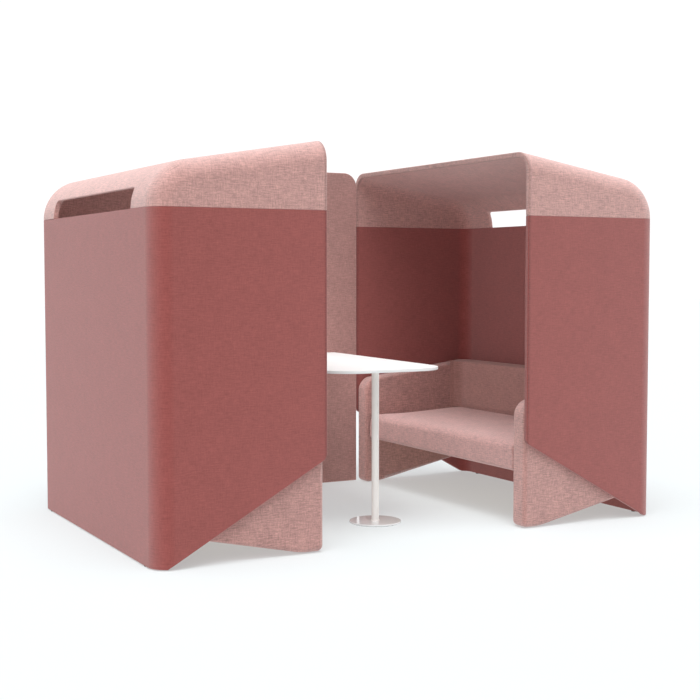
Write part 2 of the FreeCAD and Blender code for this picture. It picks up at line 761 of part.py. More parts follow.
def glide_inserts(pod):
    """Threaded sleeves pressed into the leg panels and the back wall for the glides."""
    name = pod + "_glide_inserts"
    members = []
    for where in ("front", "rear"):
        for sign in (-1, 1):
            x, y = glide_spot(where)
            base = (x, sign * y, size("floor_gap"))
            part_name = "%s_%s_%d" % (name, where, sign + 1)
            outer = bar(part_name + "_outer", 8, "Sizes.glide_insert_radius", "Sizes.glide_insert_length", base)
            radius = "(Sizes.glide_stem_radius + Sizes.glide_play) / cos(22.5 deg)"
            inner = bar(part_name + "_inner", 8, radius, "Sizes.glide_insert_length", base)
            members.append(cut(part_name, outer, [inner]))
    finish(group(name, members), name, pod)


def glide(pod, where, side, sign):
    """A levelling glide: a six-sided foot for a spanner under a threaded stem."""
    name = "%s_%s_%s_glide" % (pod, where, side)
    x, y = glide_spot(where)
    foot = bar(name + "_foot", 6, "Sizes.glide_across", "Sizes.glide_height", (x, sign * y, 0))
    base = (x, sign * y, size("glide_height") / 2)
    stem = bar(name + "_stem", 8, "Sizes.glide_stem_radius", "Sizes.glide_stem_length", base)
    joined = doc.addObject("Part::Fuse", name)
    joined.Base = foot
    joined.Tool = stem
    finish(joined, name, pod)


# Pieces between the pods

def link_screen():
    """The upright screen that joins the two pods along the far side."""
    name = "link_screen"
    body = new_body(name + "_blank")
    points = [
        ("0 - Sizes.link_half_length", "Sizes.floor_gap"),
        ("Sizes.link_half_length", "Sizes.floor_gap"),
        ("Sizes.link_half_length", "Sizes.link_height"),
        ("0 - Sizes.link_half_length", "Sizes.link_height"),
    ]
    sketch = outline(body, name + "_outline", "XZ_Plane", points, "0 - " + HALF_WIDTH)
    pad(body, name + "_pad", sketch, "Sizes.link_thickness")
    end = size("link_half_length")
    top = size("link_height")
    soften(body, name + "_top_corners", "Fillet", "Sizes.link_corner_round",
           lambda edge: lies(edge, x=end, z=top) or lies(edge, x=-end, z=top))
    soften(body, name + "_bevel", "Chamfer", "Sizes.edge_bevel",
           lambda edge: (lies(edge, y=HALF_WIDTH_MM) or lies(edge, y=LINK_NEAR_MM))
           and not lies(edge, z=size("floor_gap")))
    cutters = []
    for index, height in enumerate(plate_heights()):
        right_side = plate_recess("%s_recess_%d" % (name, index), 1, height)
        left_side = plate_recess("%s_recess_left_%d" % (name, index), 1, height)
        middle = "(Sizes.pod_front + Sizes.link_half_length) / 2"
        left_side.setExpression("Placement.Base.x", "0 - %s - Sizes.link_plate_half_length - 1" % middle)
        cutters += [right_side, left_side]
    for index, (x, y, z) in enumerate(plate_screw_spots(1)):
        for sign in (-1, 1):
            hole_name = "%s_hole_%d_%d" % (name, index, sign + 1)
            cutters.append(screw_hole(hole_name, (sign * x, y, z), (0, -1, 0), size("link_screw_length")))
    for index, spot in enumerate(bracket_wall_spots()):
        hole_name = "%s_bracket_hole_%d" % (name, index)
        cutters.append(screw_hole(hole_name, spot, (0, 1, 0), size("bracket_wall_screw_length")))
    finish(cut(name, body, cutters), name)


def link_plates(pod, sign):
    """Two flat steel plates that tie a pod's far wall to the linking screen."""
    name = pod + "_link_plates"
    middle = sign * (size("pod_front") + size("link_half_length")) / 2
    members = []
    for index, height in enumerate(plate_heights()):
        sizes = ("2 * Sizes.link_plate_half_length", "Sizes.link_plate_thickness", "Sizes.link_plate_height")
        corner = ("%g - Sizes.link_plate_half_length" % middle, "%s - Sizes.link_plate_recess" % HALF_WIDTH,
                  "%g" % height)
        blank = box("%s_blank_%d" % (name, index), sizes, corner)
        holes = []
        for number, (x, y, z) in enumerate(plate_screw_spots(1)[2 * index:2 * index + 2]):
            hole_name = "%s_hole_%d_%d" % (name, index, number)
            holes.append(screw_hole(hole_name, (sign * x, y, z), (0, -1, 0), size("link_screw_length")))
        members.append(cut("%s_%d" % (name, index), blank, holes))
    finish(group(name, members), name)


def link_screws():
    name = "link_screws"
    members = []
    for index, (x, y, z) in enumerate(plate_screw_spots(1)):
        for sign in (-1, 1):
            screw_name = "%s_%d_%d" % (name, index, sign + 1)
            members.append(screw(screw_name, (sign * x, y, z), (0, -1, 0), size("link_screw_length")))
    finish(group(name, members), name)


def plate_bolt_spots():
    """Seats of the four screws that hold the table top down on its mounting plate."""
    reach = size("mounting_plate_half_side") - size("mounting_screw_inset")
    under = size("table_height") - size("table_thickness") - size("mounting_plate_thickness")
    spots = []
    for x in (-reach, reach):
        for y in (-reach, reach):
            spots.append((x, y - size("table_leg_setback"), under))
    return spots


def bracket_top_spots():
    under = size("table_height") - size("table_thickness") - size("wall_bracket_thickness")
    y = LINK_NEAR_MM - size("bracket_screw_setback")
    return [(way * size("bracket_top_screw_offset"), y, under) for way in (-1, 1)]


def bracket_wall_spots():
    y = LINK_NEAR_MM - size("wall_bracket_thickness")
    z = size("table_height") - size("table_thickness") - size("bracket_screw_setback")
    return [(way * size("bracket_wall_screw_offset"), y, z) for way in (-1, 1)]


def table_top():
    """A thin top that widens towards the screen, with round near corners and a bevel under its edge."""
    name = "table_top"
    body = new_body(name + "_blank")
    near = "(0 - Sizes.table_near_edge)"
    far = "(%s - Sizes.table_wall_gap)" % LINK_NEAR
    points = [
        ("0 - Sizes.table_near_half_width", near),
        ("Sizes.table_near_half_width", near),
        ("Sizes.table_far_half_width", far),
        ("0 - Sizes.table_far_half_width", far),
    ]
    sketch = outline(body, name + "_outline", "XY_Plane", points, TABLE_UNDER)
    pad(body, name + "_pad", sketch, "Sizes.table_thickness")
    soften(body, name + "_corners", "Fillet", "Sizes.table_corner_round",
           lambda edge: lies(edge, y=-size("table_near_edge")) and edge.BoundBox.XLength < 1)
    far_mm = LINK_NEAR_MM - size("table_wall_gap")
    under = size("table_height") - size("table_thickness")
    soften(body, name + "_bevel", "Chamfer", "Sizes.table_bevel",
           lambda edge: lies(edge, z=under) and not lies(edge, y=far_mm))
    holes = []
    for index, spot in enumerate(plate_bolt_spots()):
        hole_name = "%s_plate_hole_%d" % (name, index)
        holes.append(screw_hole(hole_name, spot, (0, 0, 1), size("table_screw_length")))
    for index, spot in enumerate(bracket_top_spots()):
        hole_name = "%s_bracket_hole_%d" % (name, index)
        holes.append(screw_hole(hole_name, spot, (0, 0, 1), size("table_screw_length")))
    finish(cut(name, body, holes), name)


def table_stand():
    """Mounting plate, tube, round base and the thin pad under it."""
    y = -size("table_leg_setback")
    half = "Sizes.mounting_plate_half_side"
    plate_bottom = "%s - Sizes.mounting_plate_thickness" % TABLE_UNDER
    sizes = ("2 * " + half, "2 * " + half, "Sizes.mounting_plate_thickness")
    corner = ("0 - " + half, "0 - Sizes.table_leg_setback - " + half, plate_bottom)
    plate = box("table_mounting_plate_blank", sizes, corner)
    holes = []
    for index, spot in enumerate(plate_bolt_spots()):
        hole_name = "table_mounting_plate_hole_%d" % index
        holes.append(screw_hole(hole_name, spot, (0, 0, 1), size("table_screw_length")))
    finish(cut("table_mounting_plate", plate, holes), "table_mounting_plate")
    base_top = size("base_pad_thickness") + size("table_base_thickness")
    leg_height = "%s - %g" % (plate_bottom, base_top)
    tube = rod("table_leg_outside", "Sizes.table_leg_radius", leg_height, (0, y, base_top))
    bore = rod("table_leg_inside", "Sizes.table_leg_radius - Sizes.table_leg_wall", leg_height, (0, y, base_top))
    finish(cut("table_leg", tube, [bore]), "table_leg")
    disc = rod("table_base_disc", "Sizes.table_base_radius", "Sizes.table_base_thickness",
               (0, y, size("base_pad_thickness")))
    doc.recompute()
    bevelled = doc.addObject("Part::Chamfer", "table_base")
    bevelled.Base = disc
    bevel = size("table_base_bevel")
    bevelled.Edges = [(index, bevel, bevel) for index, edge in enumerate(disc.Shape.Edges, start=1)
                      if lies(edge, z=base_top)]
    finish(bevelled, "table_base")
    felt = bar("table_base_pad", 24, "Sizes.base_pad_radius", "Sizes.base_pad_thickness", (0, y, 0))
    finish(felt, "table_base_pad")
    members = []
    for index, spot in enumerate(plate_bolt_spots()):
        members.append(screw("table_plate_screw_%d" % index, spot, (0, 0, 1), size("table_screw_length")))
    finish(group("table_plate_screws", members), "table_plate_screws")


def table_wall_bracket():
    """An angle under the far end of the top, fixed to the linking screen."""
    name = "table_wall_bracket"
    body = new_body(name + "_blank")
    leg = "Sizes.wall_bracket_leg"
    thick = "Sizes.wall_bracket_thickness"
    points = [
        ("%s - %s" % (LINK_NEAR, leg), "%s - %s" % (TABLE_UNDER, thick)),
        ("%s - %s" % (LINK_NEAR, thick), "%s - %s" % (TABLE_UNDER, thick)),
        ("%s - %s" % (LINK_NEAR, thick), "%s - %s" % (TABLE_UNDER, leg)),
        (LINK_NEAR, "%s - %s" % (TABLE_UNDER, leg)),
        (LINK_NEAR, TABLE_UNDER),
        ("%s - %s" % (LINK_NEAR, leg), TABLE_UNDER),
    ]
    sketch = outline(body, name + "_outline", "YZ_Plane", points)
    pad(body, name + "_pad", sketch, "2 * Sizes.wall_bracket_half_length", middle=True)
    holes = []
    screws = []
    for index, spot in enumerate(bracket_top_spots()):
        length = size("table_screw_length")
        holes.append(screw_hole("%s_top_hole_%d" % (name, index), spot, (0, 0, 1), length))
        screws.append(screw("table_bracket_top_screw_%d" % index, spot, (0, 0, 1), length))
    for index, spot in enumerate(bracket_wall_spots()):
        length = size("bracket_wall_screw_length")
        holes.append(screw_hole("%s_wall_hole_%d" % (name, index), spot, (0, 1, 0), length))
        screws.append(screw("table_bracket_wall_screw_%d" % index, spot, (0, 1, 0), length))
    finish(cut(name, body, holes), name)
    finish(group("table_bracket_screws", screws), "table_bracket_screws")


for pod_name, sides in PODS.items():
    back_screen(pod_name)
    hood(pod_name)
    for side_name, side_sign in sides.items():
        side_screen(pod_name, side_name, side_sign)
        leg_panel(pod_name, side_name, side_sign)
        seat_rail(pod_name, side_name, side_sign)
        for row_name in ("front", "rear"):
            glide(pod_name, row_name, side_name, side_sign)
    seat_cushion(pod_name)
    backrest_cushion(pod_name)
    seat_board(pod_name)
    backrest_board(pod_name)
    rail_screws(pod_name)
    hood_dowels(pod_name)
    glide_inserts(pod_name)
link_screen()
link_plates("right", 1)
link_plates("left", -1)
link_screws()
table_top()
table_stand()
table_wall_bracket()

doc.recompute()
for item in doc.Objects:
    if "Invalid" in item.State or "Error" in item.State:
        raise RuntimeError("%s is %s" % (item.Label, item.State))
os.makedirs("parts", exist_ok=True)
for piece in finished:
    if piece.Shape.isNull() or not piece.Shape.isValid():
        raise RuntimeError("%s has no valid shape" % piece.Label)
    piece.Shape.exportStep("parts/%s.step" % piece.Label)
print(len(finished), "pieces")
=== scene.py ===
import json
import math

import bmesh
import bpy
from mathutils import Euler, Matrix, Vector


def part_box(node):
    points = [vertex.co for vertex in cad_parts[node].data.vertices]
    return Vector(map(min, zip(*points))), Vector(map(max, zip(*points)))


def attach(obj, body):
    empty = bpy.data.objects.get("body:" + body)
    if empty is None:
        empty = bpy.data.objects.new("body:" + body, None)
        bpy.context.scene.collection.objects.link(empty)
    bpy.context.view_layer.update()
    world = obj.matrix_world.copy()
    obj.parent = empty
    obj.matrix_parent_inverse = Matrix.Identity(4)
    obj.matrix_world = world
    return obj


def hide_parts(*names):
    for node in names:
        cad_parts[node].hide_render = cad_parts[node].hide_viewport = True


bl_info = {
    "name": "Hooded meeting booth",
    "version": (1, 0, 0),
    "blender": (4, 5, 0),
    "location": "View3D > Sidebar > Booth",
    "description": "Upholstery, table and studio for a hooded meeting booth",
    "category": "Object",
}

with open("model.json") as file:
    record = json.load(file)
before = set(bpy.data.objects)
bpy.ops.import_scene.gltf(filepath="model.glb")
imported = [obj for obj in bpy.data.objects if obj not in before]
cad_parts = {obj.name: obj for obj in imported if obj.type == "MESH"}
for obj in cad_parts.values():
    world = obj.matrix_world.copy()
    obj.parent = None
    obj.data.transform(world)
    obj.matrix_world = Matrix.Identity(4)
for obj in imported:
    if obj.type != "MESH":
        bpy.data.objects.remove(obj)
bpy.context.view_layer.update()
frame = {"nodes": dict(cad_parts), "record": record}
BODY = "booth"
PODS = ("right", "left")
HALF_TURN = Matrix.Rotation(math.pi, 4, "Z")

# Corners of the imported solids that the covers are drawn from
HOOD_LOW, HOOD_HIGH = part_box("right_hood")
BACK_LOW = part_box("right_back_screen")[0]
SEAT_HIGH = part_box("right_seat_cushion")[1]
BAND_LOW, BAND_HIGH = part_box("right_backrest_cushion")
LEG_LOW, LEG_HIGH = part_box("right_far_leg_panel")
LINK_LOW, LINK_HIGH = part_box("link_screen")
PLATE_LOW, PLATE_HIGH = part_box("right_link_plates")
TOP_LOW, TOP_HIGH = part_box("table_top")
TUBE_LOW, TUBE_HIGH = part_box("table_leg")
BASE_LOW, BASE_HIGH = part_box("table_base")
TUBE_AXIS_Y = (BASE_LOW.y + BASE_HIGH.y) / 2


def length(name, default, description):
    """A size in metres for the sidebar."""
    return bpy.props.FloatProperty(name=name, description=description, default=default, unit="LENGTH",
                                   precision=4)


def ratio(name, default, description):
    """A plain number for the sidebar."""
    return bpy.props.FloatProperty(name=name, description=description, default=default, precision=3)


def colour(name, default, description):
    """A linear colour for the sidebar."""
    return bpy.props.FloatVectorProperty(name=name, description=description, default=default, size=3,
                                         min=0.0, max=1.0, subtype="COLOR")


class BoothSizes(bpy.types.PropertyGroup):
    """Sizes of the upholstery and the table."""
    front: length("Pod front", HOOD_LOW.x, "Distance from the middle of the booth to a pod's front edge")
    back: length("Pod back", HOOD_HIGH.x, "Distance from the middle of the booth to a pod's back")
    half_width: length("Half width", HOOD_HIGH.y, "Half of the booth's width")
    wall: length("Wall", 0.024, "Thickness of the upholstered walls")
    corner: length("Corner", 0.09, "Radius of the pod's upright corners and roof edges")
    seam: length("Seam height", HOOD_LOW.z, "Height of the seam between walls and hood")
    foot: length("Wall foot", BACK_LOW.z, "Height of the wall's foot above the floor")
    cut_front: length("Cut height", 0.409, "Height of the slanted cut at the front of the side walls")
    cut_back: length("Cut end", 1.253, "Where the slanted cut meets the floor")
    cut_round: length("Cut round", 0.018, "Radius between the front edge and the slanted cut")
    roof_front: length("Roof front", 1.765, "Height of the roof at its front edge")
    roof_slope: ratio("Roof slope", 0.168, "Fall of the roof towards the back")
    roof_bend: length("Roof bend", 0.192, "Radius between the roof and the back")
    edge: length("Cover edge", 0.0045, "Radius of the upholstered edges")
    seam_bevel: length("Seam bevel", 0.002, "Bevel that draws the seam line")
    edge_seam: length("Edge seam", 0.0065, "Distance of the sewn line from the front edges")
    seam_width: length("Seam width", 0.0028, "Width of the sewn line's groove")
    seam_depth: length("Seam depth", 0.0008, "Depth of the sewn line's groove")
    slot_half: length("Slot half width", 0.575, "Half width of the slot in the back of the hood")
    slot_top: length("Slot top", 1.5555, "Upper edge of the slot")
    slot_sink: length("Slot sink", 0.003, "How far the slot dips into the wall below it")
    slot_round: length("Slot round", 0.02, "Radius of the slot's corners")
    slot_edge: length("Slot edge", 0.0035, "Radius round the slot's rims")
    plate_play: length("Plate play", 0.001, "Room round the joining plates")
    arm_set_back: length("Arm set back", 0.004, "Slack of the leg panels' covers at their front")
    arm_edge: length("Arm edge", 0.021, "Radius round the padded leg panels")
    arm_front: length("Arm front", 0.595, "Height of the arm at its front")
    arm_round: length("Arm round", 0.068, "Radius at the top of the arm's front")
    arm_back: length("Arm back", 0.682, "Height of the arm at its back")
    arm_bend: length("Arm bend", 1.190, "Where the arm's top turns level")
    foot_length: length("Foot length", 0.102, "Length of the leg panel's foot")
    foot_rise: ratio("Foot rise", 0.22, "Rise of the leg panel's underside behind its foot")
    foot_round: length("Foot round", 0.026, "Radius at the front of the foot")
    seat_front: length("Seat front", 0.534, "Front of the seat before it swells")
    seat_top: length("Seat top", 0.397, "Top of the seat's front before it swells")
    seat_tuck: length("Seat tuck", 0.4055, "Top of the seat where it is tucked under the back band")
    seat_round: length("Seat round", 0.040, "Radius of the seat's upper front edge")
    seat_step: length("Seat step", 0.2995, "Underside of the seat over its board")
    seat_lip: length("Seat lip", 0.584, "Back of the seat's front lip")
    seat_low: length("Seat low", 0.254, "Lower edge of the seat's front lip")
    seat_puff: length("Seat puff", 0.010, "How far the seat may swell")
    band_front: length("Band front", 1.152, "Front of the back band before it swells")
    band_hollow: length("Band hollow", 0.078, "Radius of the hollow corners beside the arms")
    band_bury: length("Band bury", 0.005, "How far the band's ends are pressed into the arms")
    band_top: length("Band top", 0.685, "Top of the back band")
    band_puff: length("Band puff", 0.004, "How far the back band may swell")
    link_round: length("Link round", 0.078, "Radius of the linking screen's top corners")
    top_near_half: length("Table near half", 0.316, "Half width of the table at its near end")
    top_round: length("Table round", 0.170, "Radius of the table's near corners")
    top_bevel: length("Table bevel", 0.003, "Bevel under the table's edge")
    top_hairline: length("Table hairline", 0.0012, "Round on the table's upper edge")
    seat_voxel: length("Seat voxel", 0.0105, "Grain of the seat's mesh before it swells")
    band_voxel: length("Band voxel", 0.006, "Grain of the back band's mesh before it swells")


class BoothColours(bpy.types.PropertyGroup):
    """Colours of cloth, table and studio."""
    shell: colour("Shell cloth", (0.338, 0.093, 0.084), "Dark rose cloth of the walls")
    hood: colour("Hood cloth", (0.553, 0.308, 0.279), "Light melange cloth of the hoods")
    leg: colour("Leg cloth", (0.507, 0.276, 0.250), "Light melange cloth of the leg panels")
    seat: colour("Seat cloth", (0.533, 0.292, 0.270), "Cloth of the seat")
    # The band cloth is the seat's cloth painted darker: painted shade for the band's deeper place.
    band: colour("Band cloth", (0.485, 0.258, 0.228), "Cloth of the back band")
    link: colour("Link cloth", (0.488, 0.266, 0.242), "Cloth of the linking screen")
    table: colour("Table", (0.95, 0.955, 0.95), "White laminate of the table")
    paint: colour("Paint", (0.97, 0.94, 0.905), "White powder coat of the table leg")
    base: colour("Base", (0.92, 0.925, 0.935), "Polished base of the table")
    timber: colour("Timber", (0.55, 0.38, 0.22), "Birch plywood under the seats")
    floor: colour("Floor", (0.455, 0.495, 0.505), "Studio floor")


# Materials

class Socket:
    """A shader value that takes part in sums and products."""

    def __init__(self, finish, socket):
        self.finish = finish
        self.socket = socket

    def other(self, name):
        """Another output of the same node."""
        return Socket(self.finish, self.socket.node.outputs[name])

    def sum(self, operation, first, second=0.0):
        return self.finish.node("ShaderNodeMath", {"operation": operation}, {0: first, 1: second})

    def __add__(self, value):
        return self.sum("ADD", self, value)

    def __radd__(self, value):
        return self.sum("ADD", value, self)

    def __sub__(self, value):
        return self.sum("SUBTRACT", self, value)

    def __rsub__(self, value):
        return self.sum("SUBTRACT", value, self)

    def __mul__(self, value):
        return self.sum("MULTIPLY", self, value)

    def __rmul__(self, value):
        return self.sum("MULTIPLY", value, self)

    def __gt__(self, value):
        return self.sum("GREATER_THAN", self, value)

    def __abs__(self):
        return self.sum("ABSOLUTE", self)

    def sine(self):
        return self.sum("SINE", self)

    def root(self):
        return self.sum("SQRT", self)

    def most(self, value):
        return self.sum("MAXIMUM", self, value)

    def fade(self, near_end, far_end):
        """One up to a near value, falling to nothing at a far one."""
        inputs = {0: self, 1: near_end, 2: far_end, 3: 1.0, 4: 0.0}
        return self.finish.node("ShaderNodeMapRange", None, inputs)


class Finish:
    """One material and the nodes that make it."""

    def __init__(self, name):
        self.material = bpy.data.materials.new(name)
        self.material.use_nodes = True
        self.tree = self.material.node_tree
        self.shader = self.tree.nodes["Principled BSDF"]

    def node(self, kind, settings=None, inputs=None, output=0):
        """Adds a node with its settings and the values or links of its sockets."""
        node = self.tree.nodes.new(kind)
        for key, value in (settings or {}).items():
            setattr(node, key, value)
        for key, value in (inputs or {}).items():
            self.feed(node.inputs[key], value)
        return Socket(self, node.outputs[output])

    def feed(self, socket, value):
        """Links a value to a socket or sets it there."""
        if isinstance(value, Socket):
            self.tree.links.new(value.socket, socket)
        elif socket.type == "RGBA":
            socket.default_value = (value[0], value[1], value[2], 1.0)
        else:
            socket.default_value = value

    def set(self, **inputs):
        """Feeds the shader's own sockets, named with _ for a space."""
        for key, value in inputs.items():
            self.feed(self.shader.inputs[key.replace("_", " ")], value)

    def split(self, vector):
        """The three parts of a vector."""
        first = self.node("ShaderNodeSeparateXYZ", None, {0: vector})
        return first, first.other("Y"), first.other("Z")

    def point(self):
        return self.node("ShaderNodeTexCoord", output="Object")

    def vector(self, x, y, z):
        return self.node("ShaderNodeCombineXYZ", None, {0: x, 1: y, 2: z})

    def noise(self, vector, scale, detail=2.0, rough=0.5):
        inputs = {"Vector": vector, "Scale": scale, "Detail": detail, "Roughness": rough}
        return self.node("ShaderNodeTexNoise", None, inputs)

    def mix(self, amount, first, second, way="MIX"):
        """Blends two colours."""
        settings = {"data_type": "RGBA", "blend_type": way}
        return self.node("ShaderNodeMix", settings, {0: amount, 6: first, 7: second}, output=2)

    def bump(self, height, strength, distance, under=None):
        inputs = {"Height": height, "Strength": strength, "Distance": distance}
        if under is not None:
            inputs["Normal"] = under
        return self.node("ShaderNodeBump", None, inputs)


def shade(tint, factor):
    """A colour made lighter or darker."""
    return tuple(min(1.0, channel * factor) for channel in tint)


def cloth(name, tint, thread, mottle, painted_sheen, seam_at=None, painted_shade_at=None):
    """Woven upholstery: yarns with slubs and uneven dye, a painted sheen that pales the colour at a slant,
    a sewn seam with painted shade in and beside its groove, or painted shade towards the ends.
    """
    finish = Finish(name)
    x, y, z = finish.split(finish.point())
    facing = [abs(part) for part in finish.split(finish.node("ShaderNodeTexCoord", output="Normal"))]
    endways = facing[0] > facing[1].most(facing[2])
    upwards = facing[2] > facing[1].most(facing[0])
    across = x + endways * (y - x)
    along = z + upwards * (y - z)
    turn = 2 * math.pi / thread
    warp = (across * turn).sine()
    weft = (along * turn).sine()
    over = warp * weft > 0.0
    yarn = over * abs(warp) + (1.0 - over) * abs(weft)
    lying = finish.noise(finish.vector(across * 26.0, along * 190.0, 0.0), 1.0, 3.0, 0.6)
    standing = finish.noise(finish.vector(across * 190.0, along * 26.0, 4.0), 1.0, 3.0, 0.6)
    slub = over * lying + (1.0 - over) * standing
    drift = finish.noise(finish.vector(across, along, 9.0), 9.0, 3.0, 0.55)
    speck = finish.noise(finish.vector(across, along, 2.0), 150.0, 2.0, 0.6)
    tone = 0.5 + mottle * (1.1 * lying + 0.7 * standing + 0.6 * speck + 0.35 * drift - 1.375)
    tone = tone + mottle * (0.22 * (slub - 0.5) + 0.16 * (yarn - 0.6))
    height = yarn * 0.55 + slub * 0.45
    if seam_at is not None:
        # Painted shade: the colour darkens in the seam's groove (line) and in the dip beside it (hollow);
        # the stitches are lighter thread.
        gap = abs(x) - seam_at
        line = abs(gap).fade(0.0008, 0.0028)
        hollow = abs(gap).fade(0.002, 0.011)
        stitch = abs(gap - 0.005).fade(0.0003, 0.0009) * ((z + y) * (2 * math.pi / 0.007)).sine().most(0.0)
        tone = tone - 0.12 * line - 0.22 * hollow + 0.16 * stitch
        height = height + 0.5 * stitch
    if painted_shade_at is not None:
        # Painted shade: the colour darkens towards the ends, where the band turns into the hollow corners
        # beside the arms.
        painted_shade_width = 0.065
        tone = tone - 0.14 * (1.0 - abs(y).fade(painted_shade_at, painted_shade_at + painted_shade_width))
    # Painted sheen: a pale colour is added to the base colour, the more so the more the surface is seen at
    # a slant.
    slant = finish.node("ShaderNodeLayerWeight", None, {"Blend": 0.5}, output="Facing")
    colours = finish.mix(tone, shade(tint, 0.55), shade(tint, 1.45))
    colours = finish.mix(painted_sheen * slant, colours, (0.93, 0.97, 0.98), "ADD")
    normal = finish.bump(height, 0.55, 0.0009)
    normal = finish.bump(drift, 0.12, 0.004, normal)
    finish.set(Base_Color=colours, Roughness=0.78 + 0.18 * slub, Normal=normal, Sheen_Weight=0.12,
               Sheen_Roughness=0.40, Sheen_Tint=(1.0, 0.90, 0.88), Specular_IOR_Level=0.12)
    return finish.material


def laminate(name, tint):
    """White laminate: faint cloud in the tint, fine grain in the gloss."""
    finish = Finish(name)
    point = finish.point()
    cloud = finish.noise(point, 7.0, 3.0)
    grain = finish.noise(point, 900.0)
    finish.set(Base_Color=finish.mix(cloud, shade(tint, 0.98), shade(tint, 1.02)),
               Roughness=0.42 + 0.14 * grain,
               Normal=finish.bump(grain, 0.05, 0.0002), Specular_IOR_Level=0.2)
    return finish.material


def powder_coat(name, tint):
    """Painted steel with the fine orange peel of powder coat."""
    finish = Finish(name)
    point = finish.point()
    peel = finish.noise(point, 620.0, 3.0, 0.6)
    cloud = finish.noise(point, 11.0)
    finish.set(Base_Color=finish.mix(cloud, shade(tint, 0.97), shade(tint, 1.02)),
               Roughness=0.30 + 0.14 * peel,
               Normal=finish.bump(peel, 0.12, 0.0004))
    return finish.material


def polished_plate(name, tint, centre_y):
    """A plate in polished white lacquer: faint turning rings round its middle and smears in the gloss."""
    finish = Finish(name)
    x, y, _ = finish.split(finish.point())
    offset = y - centre_y
    ring = (x * x + offset * offset).root()
    rings = finish.noise(finish.vector(ring * 900.0, 0.0, 0.0), 1.0, 3.0, 0.6)
    smear = finish.noise(finish.vector(x, y, 0.0), 24.0, 3.0)
    finish.set(Base_Color=finish.mix(rings, shade(tint, 0.97), shade(tint, 1.03)),
               Roughness=0.06 + 0.05 * rings + 0.05 * smear, Normal=finish.bump(rings, 0.01, 0.0002),
               Coat_Weight=0.7, Coat_Roughness=0.03)
    return finish.material


def plated_steel(name):
    """Zinc plate with a faint spangle."""
    finish = Finish(name)
    point = finish.point()
    inputs = {"Vector": point, "Scale": 260.0}
    spangle = finish.node("ShaderNodeTexVoronoi", None, inputs, output="Distance")
    cloud = finish.noise(point, 40.0, 3.0)
    finish.set(Base_Color=finish.mix(cloud, (0.46, 0.47, 0.48), (0.66, 0.66, 0.65)), Metallic=1.0,
               Roughness=0.30 + 0.22 * spangle, Normal=finish.bump(spangle, 0.06, 0.0003))
    return finish.material


def plywood(name, tint):
    """Birch plywood: long grain on the faces and glued layers on the edges."""
    finish = Finish(name)
    x, y, z = finish.split(finish.point())
    grain = finish.noise(finish.vector(x * 46.0, y * 3.0, z * 46.0), 1.0, 4.0, 0.6)
    pores = finish.noise(finish.vector(x * 420.0, y * 16.0, z * 420.0), 1.0)
    layers = ((z + x * 0.02) * (2 * math.pi / 0.003)).sine() * 0.5 + 0.5
    tone = 0.55 * grain + 0.25 * pores + 0.2 * layers
    finish.set(Base_Color=finish.mix(tone, shade(tint, 0.62), shade(tint, 1.2)),
               Roughness=0.5 + 0.25 * pores, Normal=finish.bump(pores, 0.2, 0.0005))
    return finish.material


def moulded_plastic(name):
    """Black moulded plastic with a fine spark-eroded grain."""
    finish = Finish(name)
    point = finish.point()
    grain = finish.noise(point, 1400.0)
    cloud = finish.noise(point, 60.0)
    finish.set(Base_Color=finish.mix(cloud, (0.018, 0.018, 0.019), (0.035, 0.035, 0.036)),
               Roughness=0.45 + 0.2 * grain, Normal=finish.bump(grain, 0.25, 0.0003))
    return finish.material


def pressed_felt(name):
    """Dark felt under the table base."""
    finish = Finish(name)
    fibre = finish.noise(finish.point(), 700.0, 4.0, 0.7)
    finish.set(Base_Color=finish.mix(fibre, (0.03, 0.03, 0.03), (0.09, 0.088, 0.085)),
               Roughness=0.85 + 0.1 * fibre, Normal=finish.bump(fibre, 0.5, 0.0008))
    return finish.material


MATERIALS = {}


def make_materials():
    """Makes every finish once, by the name of its slot in the record."""
    tints = bpy.context.scene.booth_colours
    sizes = bpy.context.scene.booth_sizes
    edge_seam = sizes.front + sizes.edge_seam
    # The fifth figure of each cloth is the strength of its painted sheen at a slant.
    MATERIALS["shell_fabric"] = cloth("shell_cloth", tints.shell, 0.0034, 0.58, 0.19, edge_seam)
    MATERIALS["hood_fabric"] = cloth("hood_cloth", tints.hood, 0.0040, 1.0, 0.26, edge_seam)
    MATERIALS["leg_fabric"] = cloth("leg_cloth", tints.leg, 0.0040, 1.15, 0.23)
    MATERIALS["seat_fabric"] = cloth("seat_cloth", tints.seat, 0.0040, 1.0, 0.22)
    # Painted shade on the back band, from here out into the hollow corners beside the arms.
    band_painted_shade_at = BAND_HIGH.y - 0.085
    MATERIALS["lining_fabric"] = cloth("band_cloth", tints.band, 0.0040, 0.75, 0.18, painted_shade_at=band_painted_shade_at)
    MATERIALS["link_fabric"] = cloth("link_cloth", tints.link, 0.0040, 0.82, 0.20)
    MATERIALS["table_laminate"] = laminate("table_laminate", tints.table)
    MATERIALS["table_paint"] = powder_coat("table_paint", tints.paint)
    MATERIALS["polished_base"] = polished_plate("table_base", tints.base, TUBE_AXIS_Y)
    MATERIALS["steel"] = plated_steel("plated_steel")
    MATERIALS["timber"] = plywood("birch_plywood", tints.timber)
    MATERIALS["glide_plastic"] = moulded_plastic("glide_plastic")
    MATERIALS["pad_rubber"] = pressed_felt("base_felt")


# Mesh helpers

def near(value, target, slack=0.0004):
    return abs(value - target) < slack


def edges_at(mesh, test):
    """The edges whose two ends both pass a test."""
    return [edge for edge in mesh.edges if all(test(vert.co) for vert in edge.verts)]


def sharp(edge):
    return edge.calc_face_angle(0.0) > 0.6


def runs(edge, axis):
    """True for an edge that runs along one axis only."""
    way = edge.verts[1].co - edge.verts[0].co
    return abs(way["xyz".index(axis)]) > 0.999 * way.length


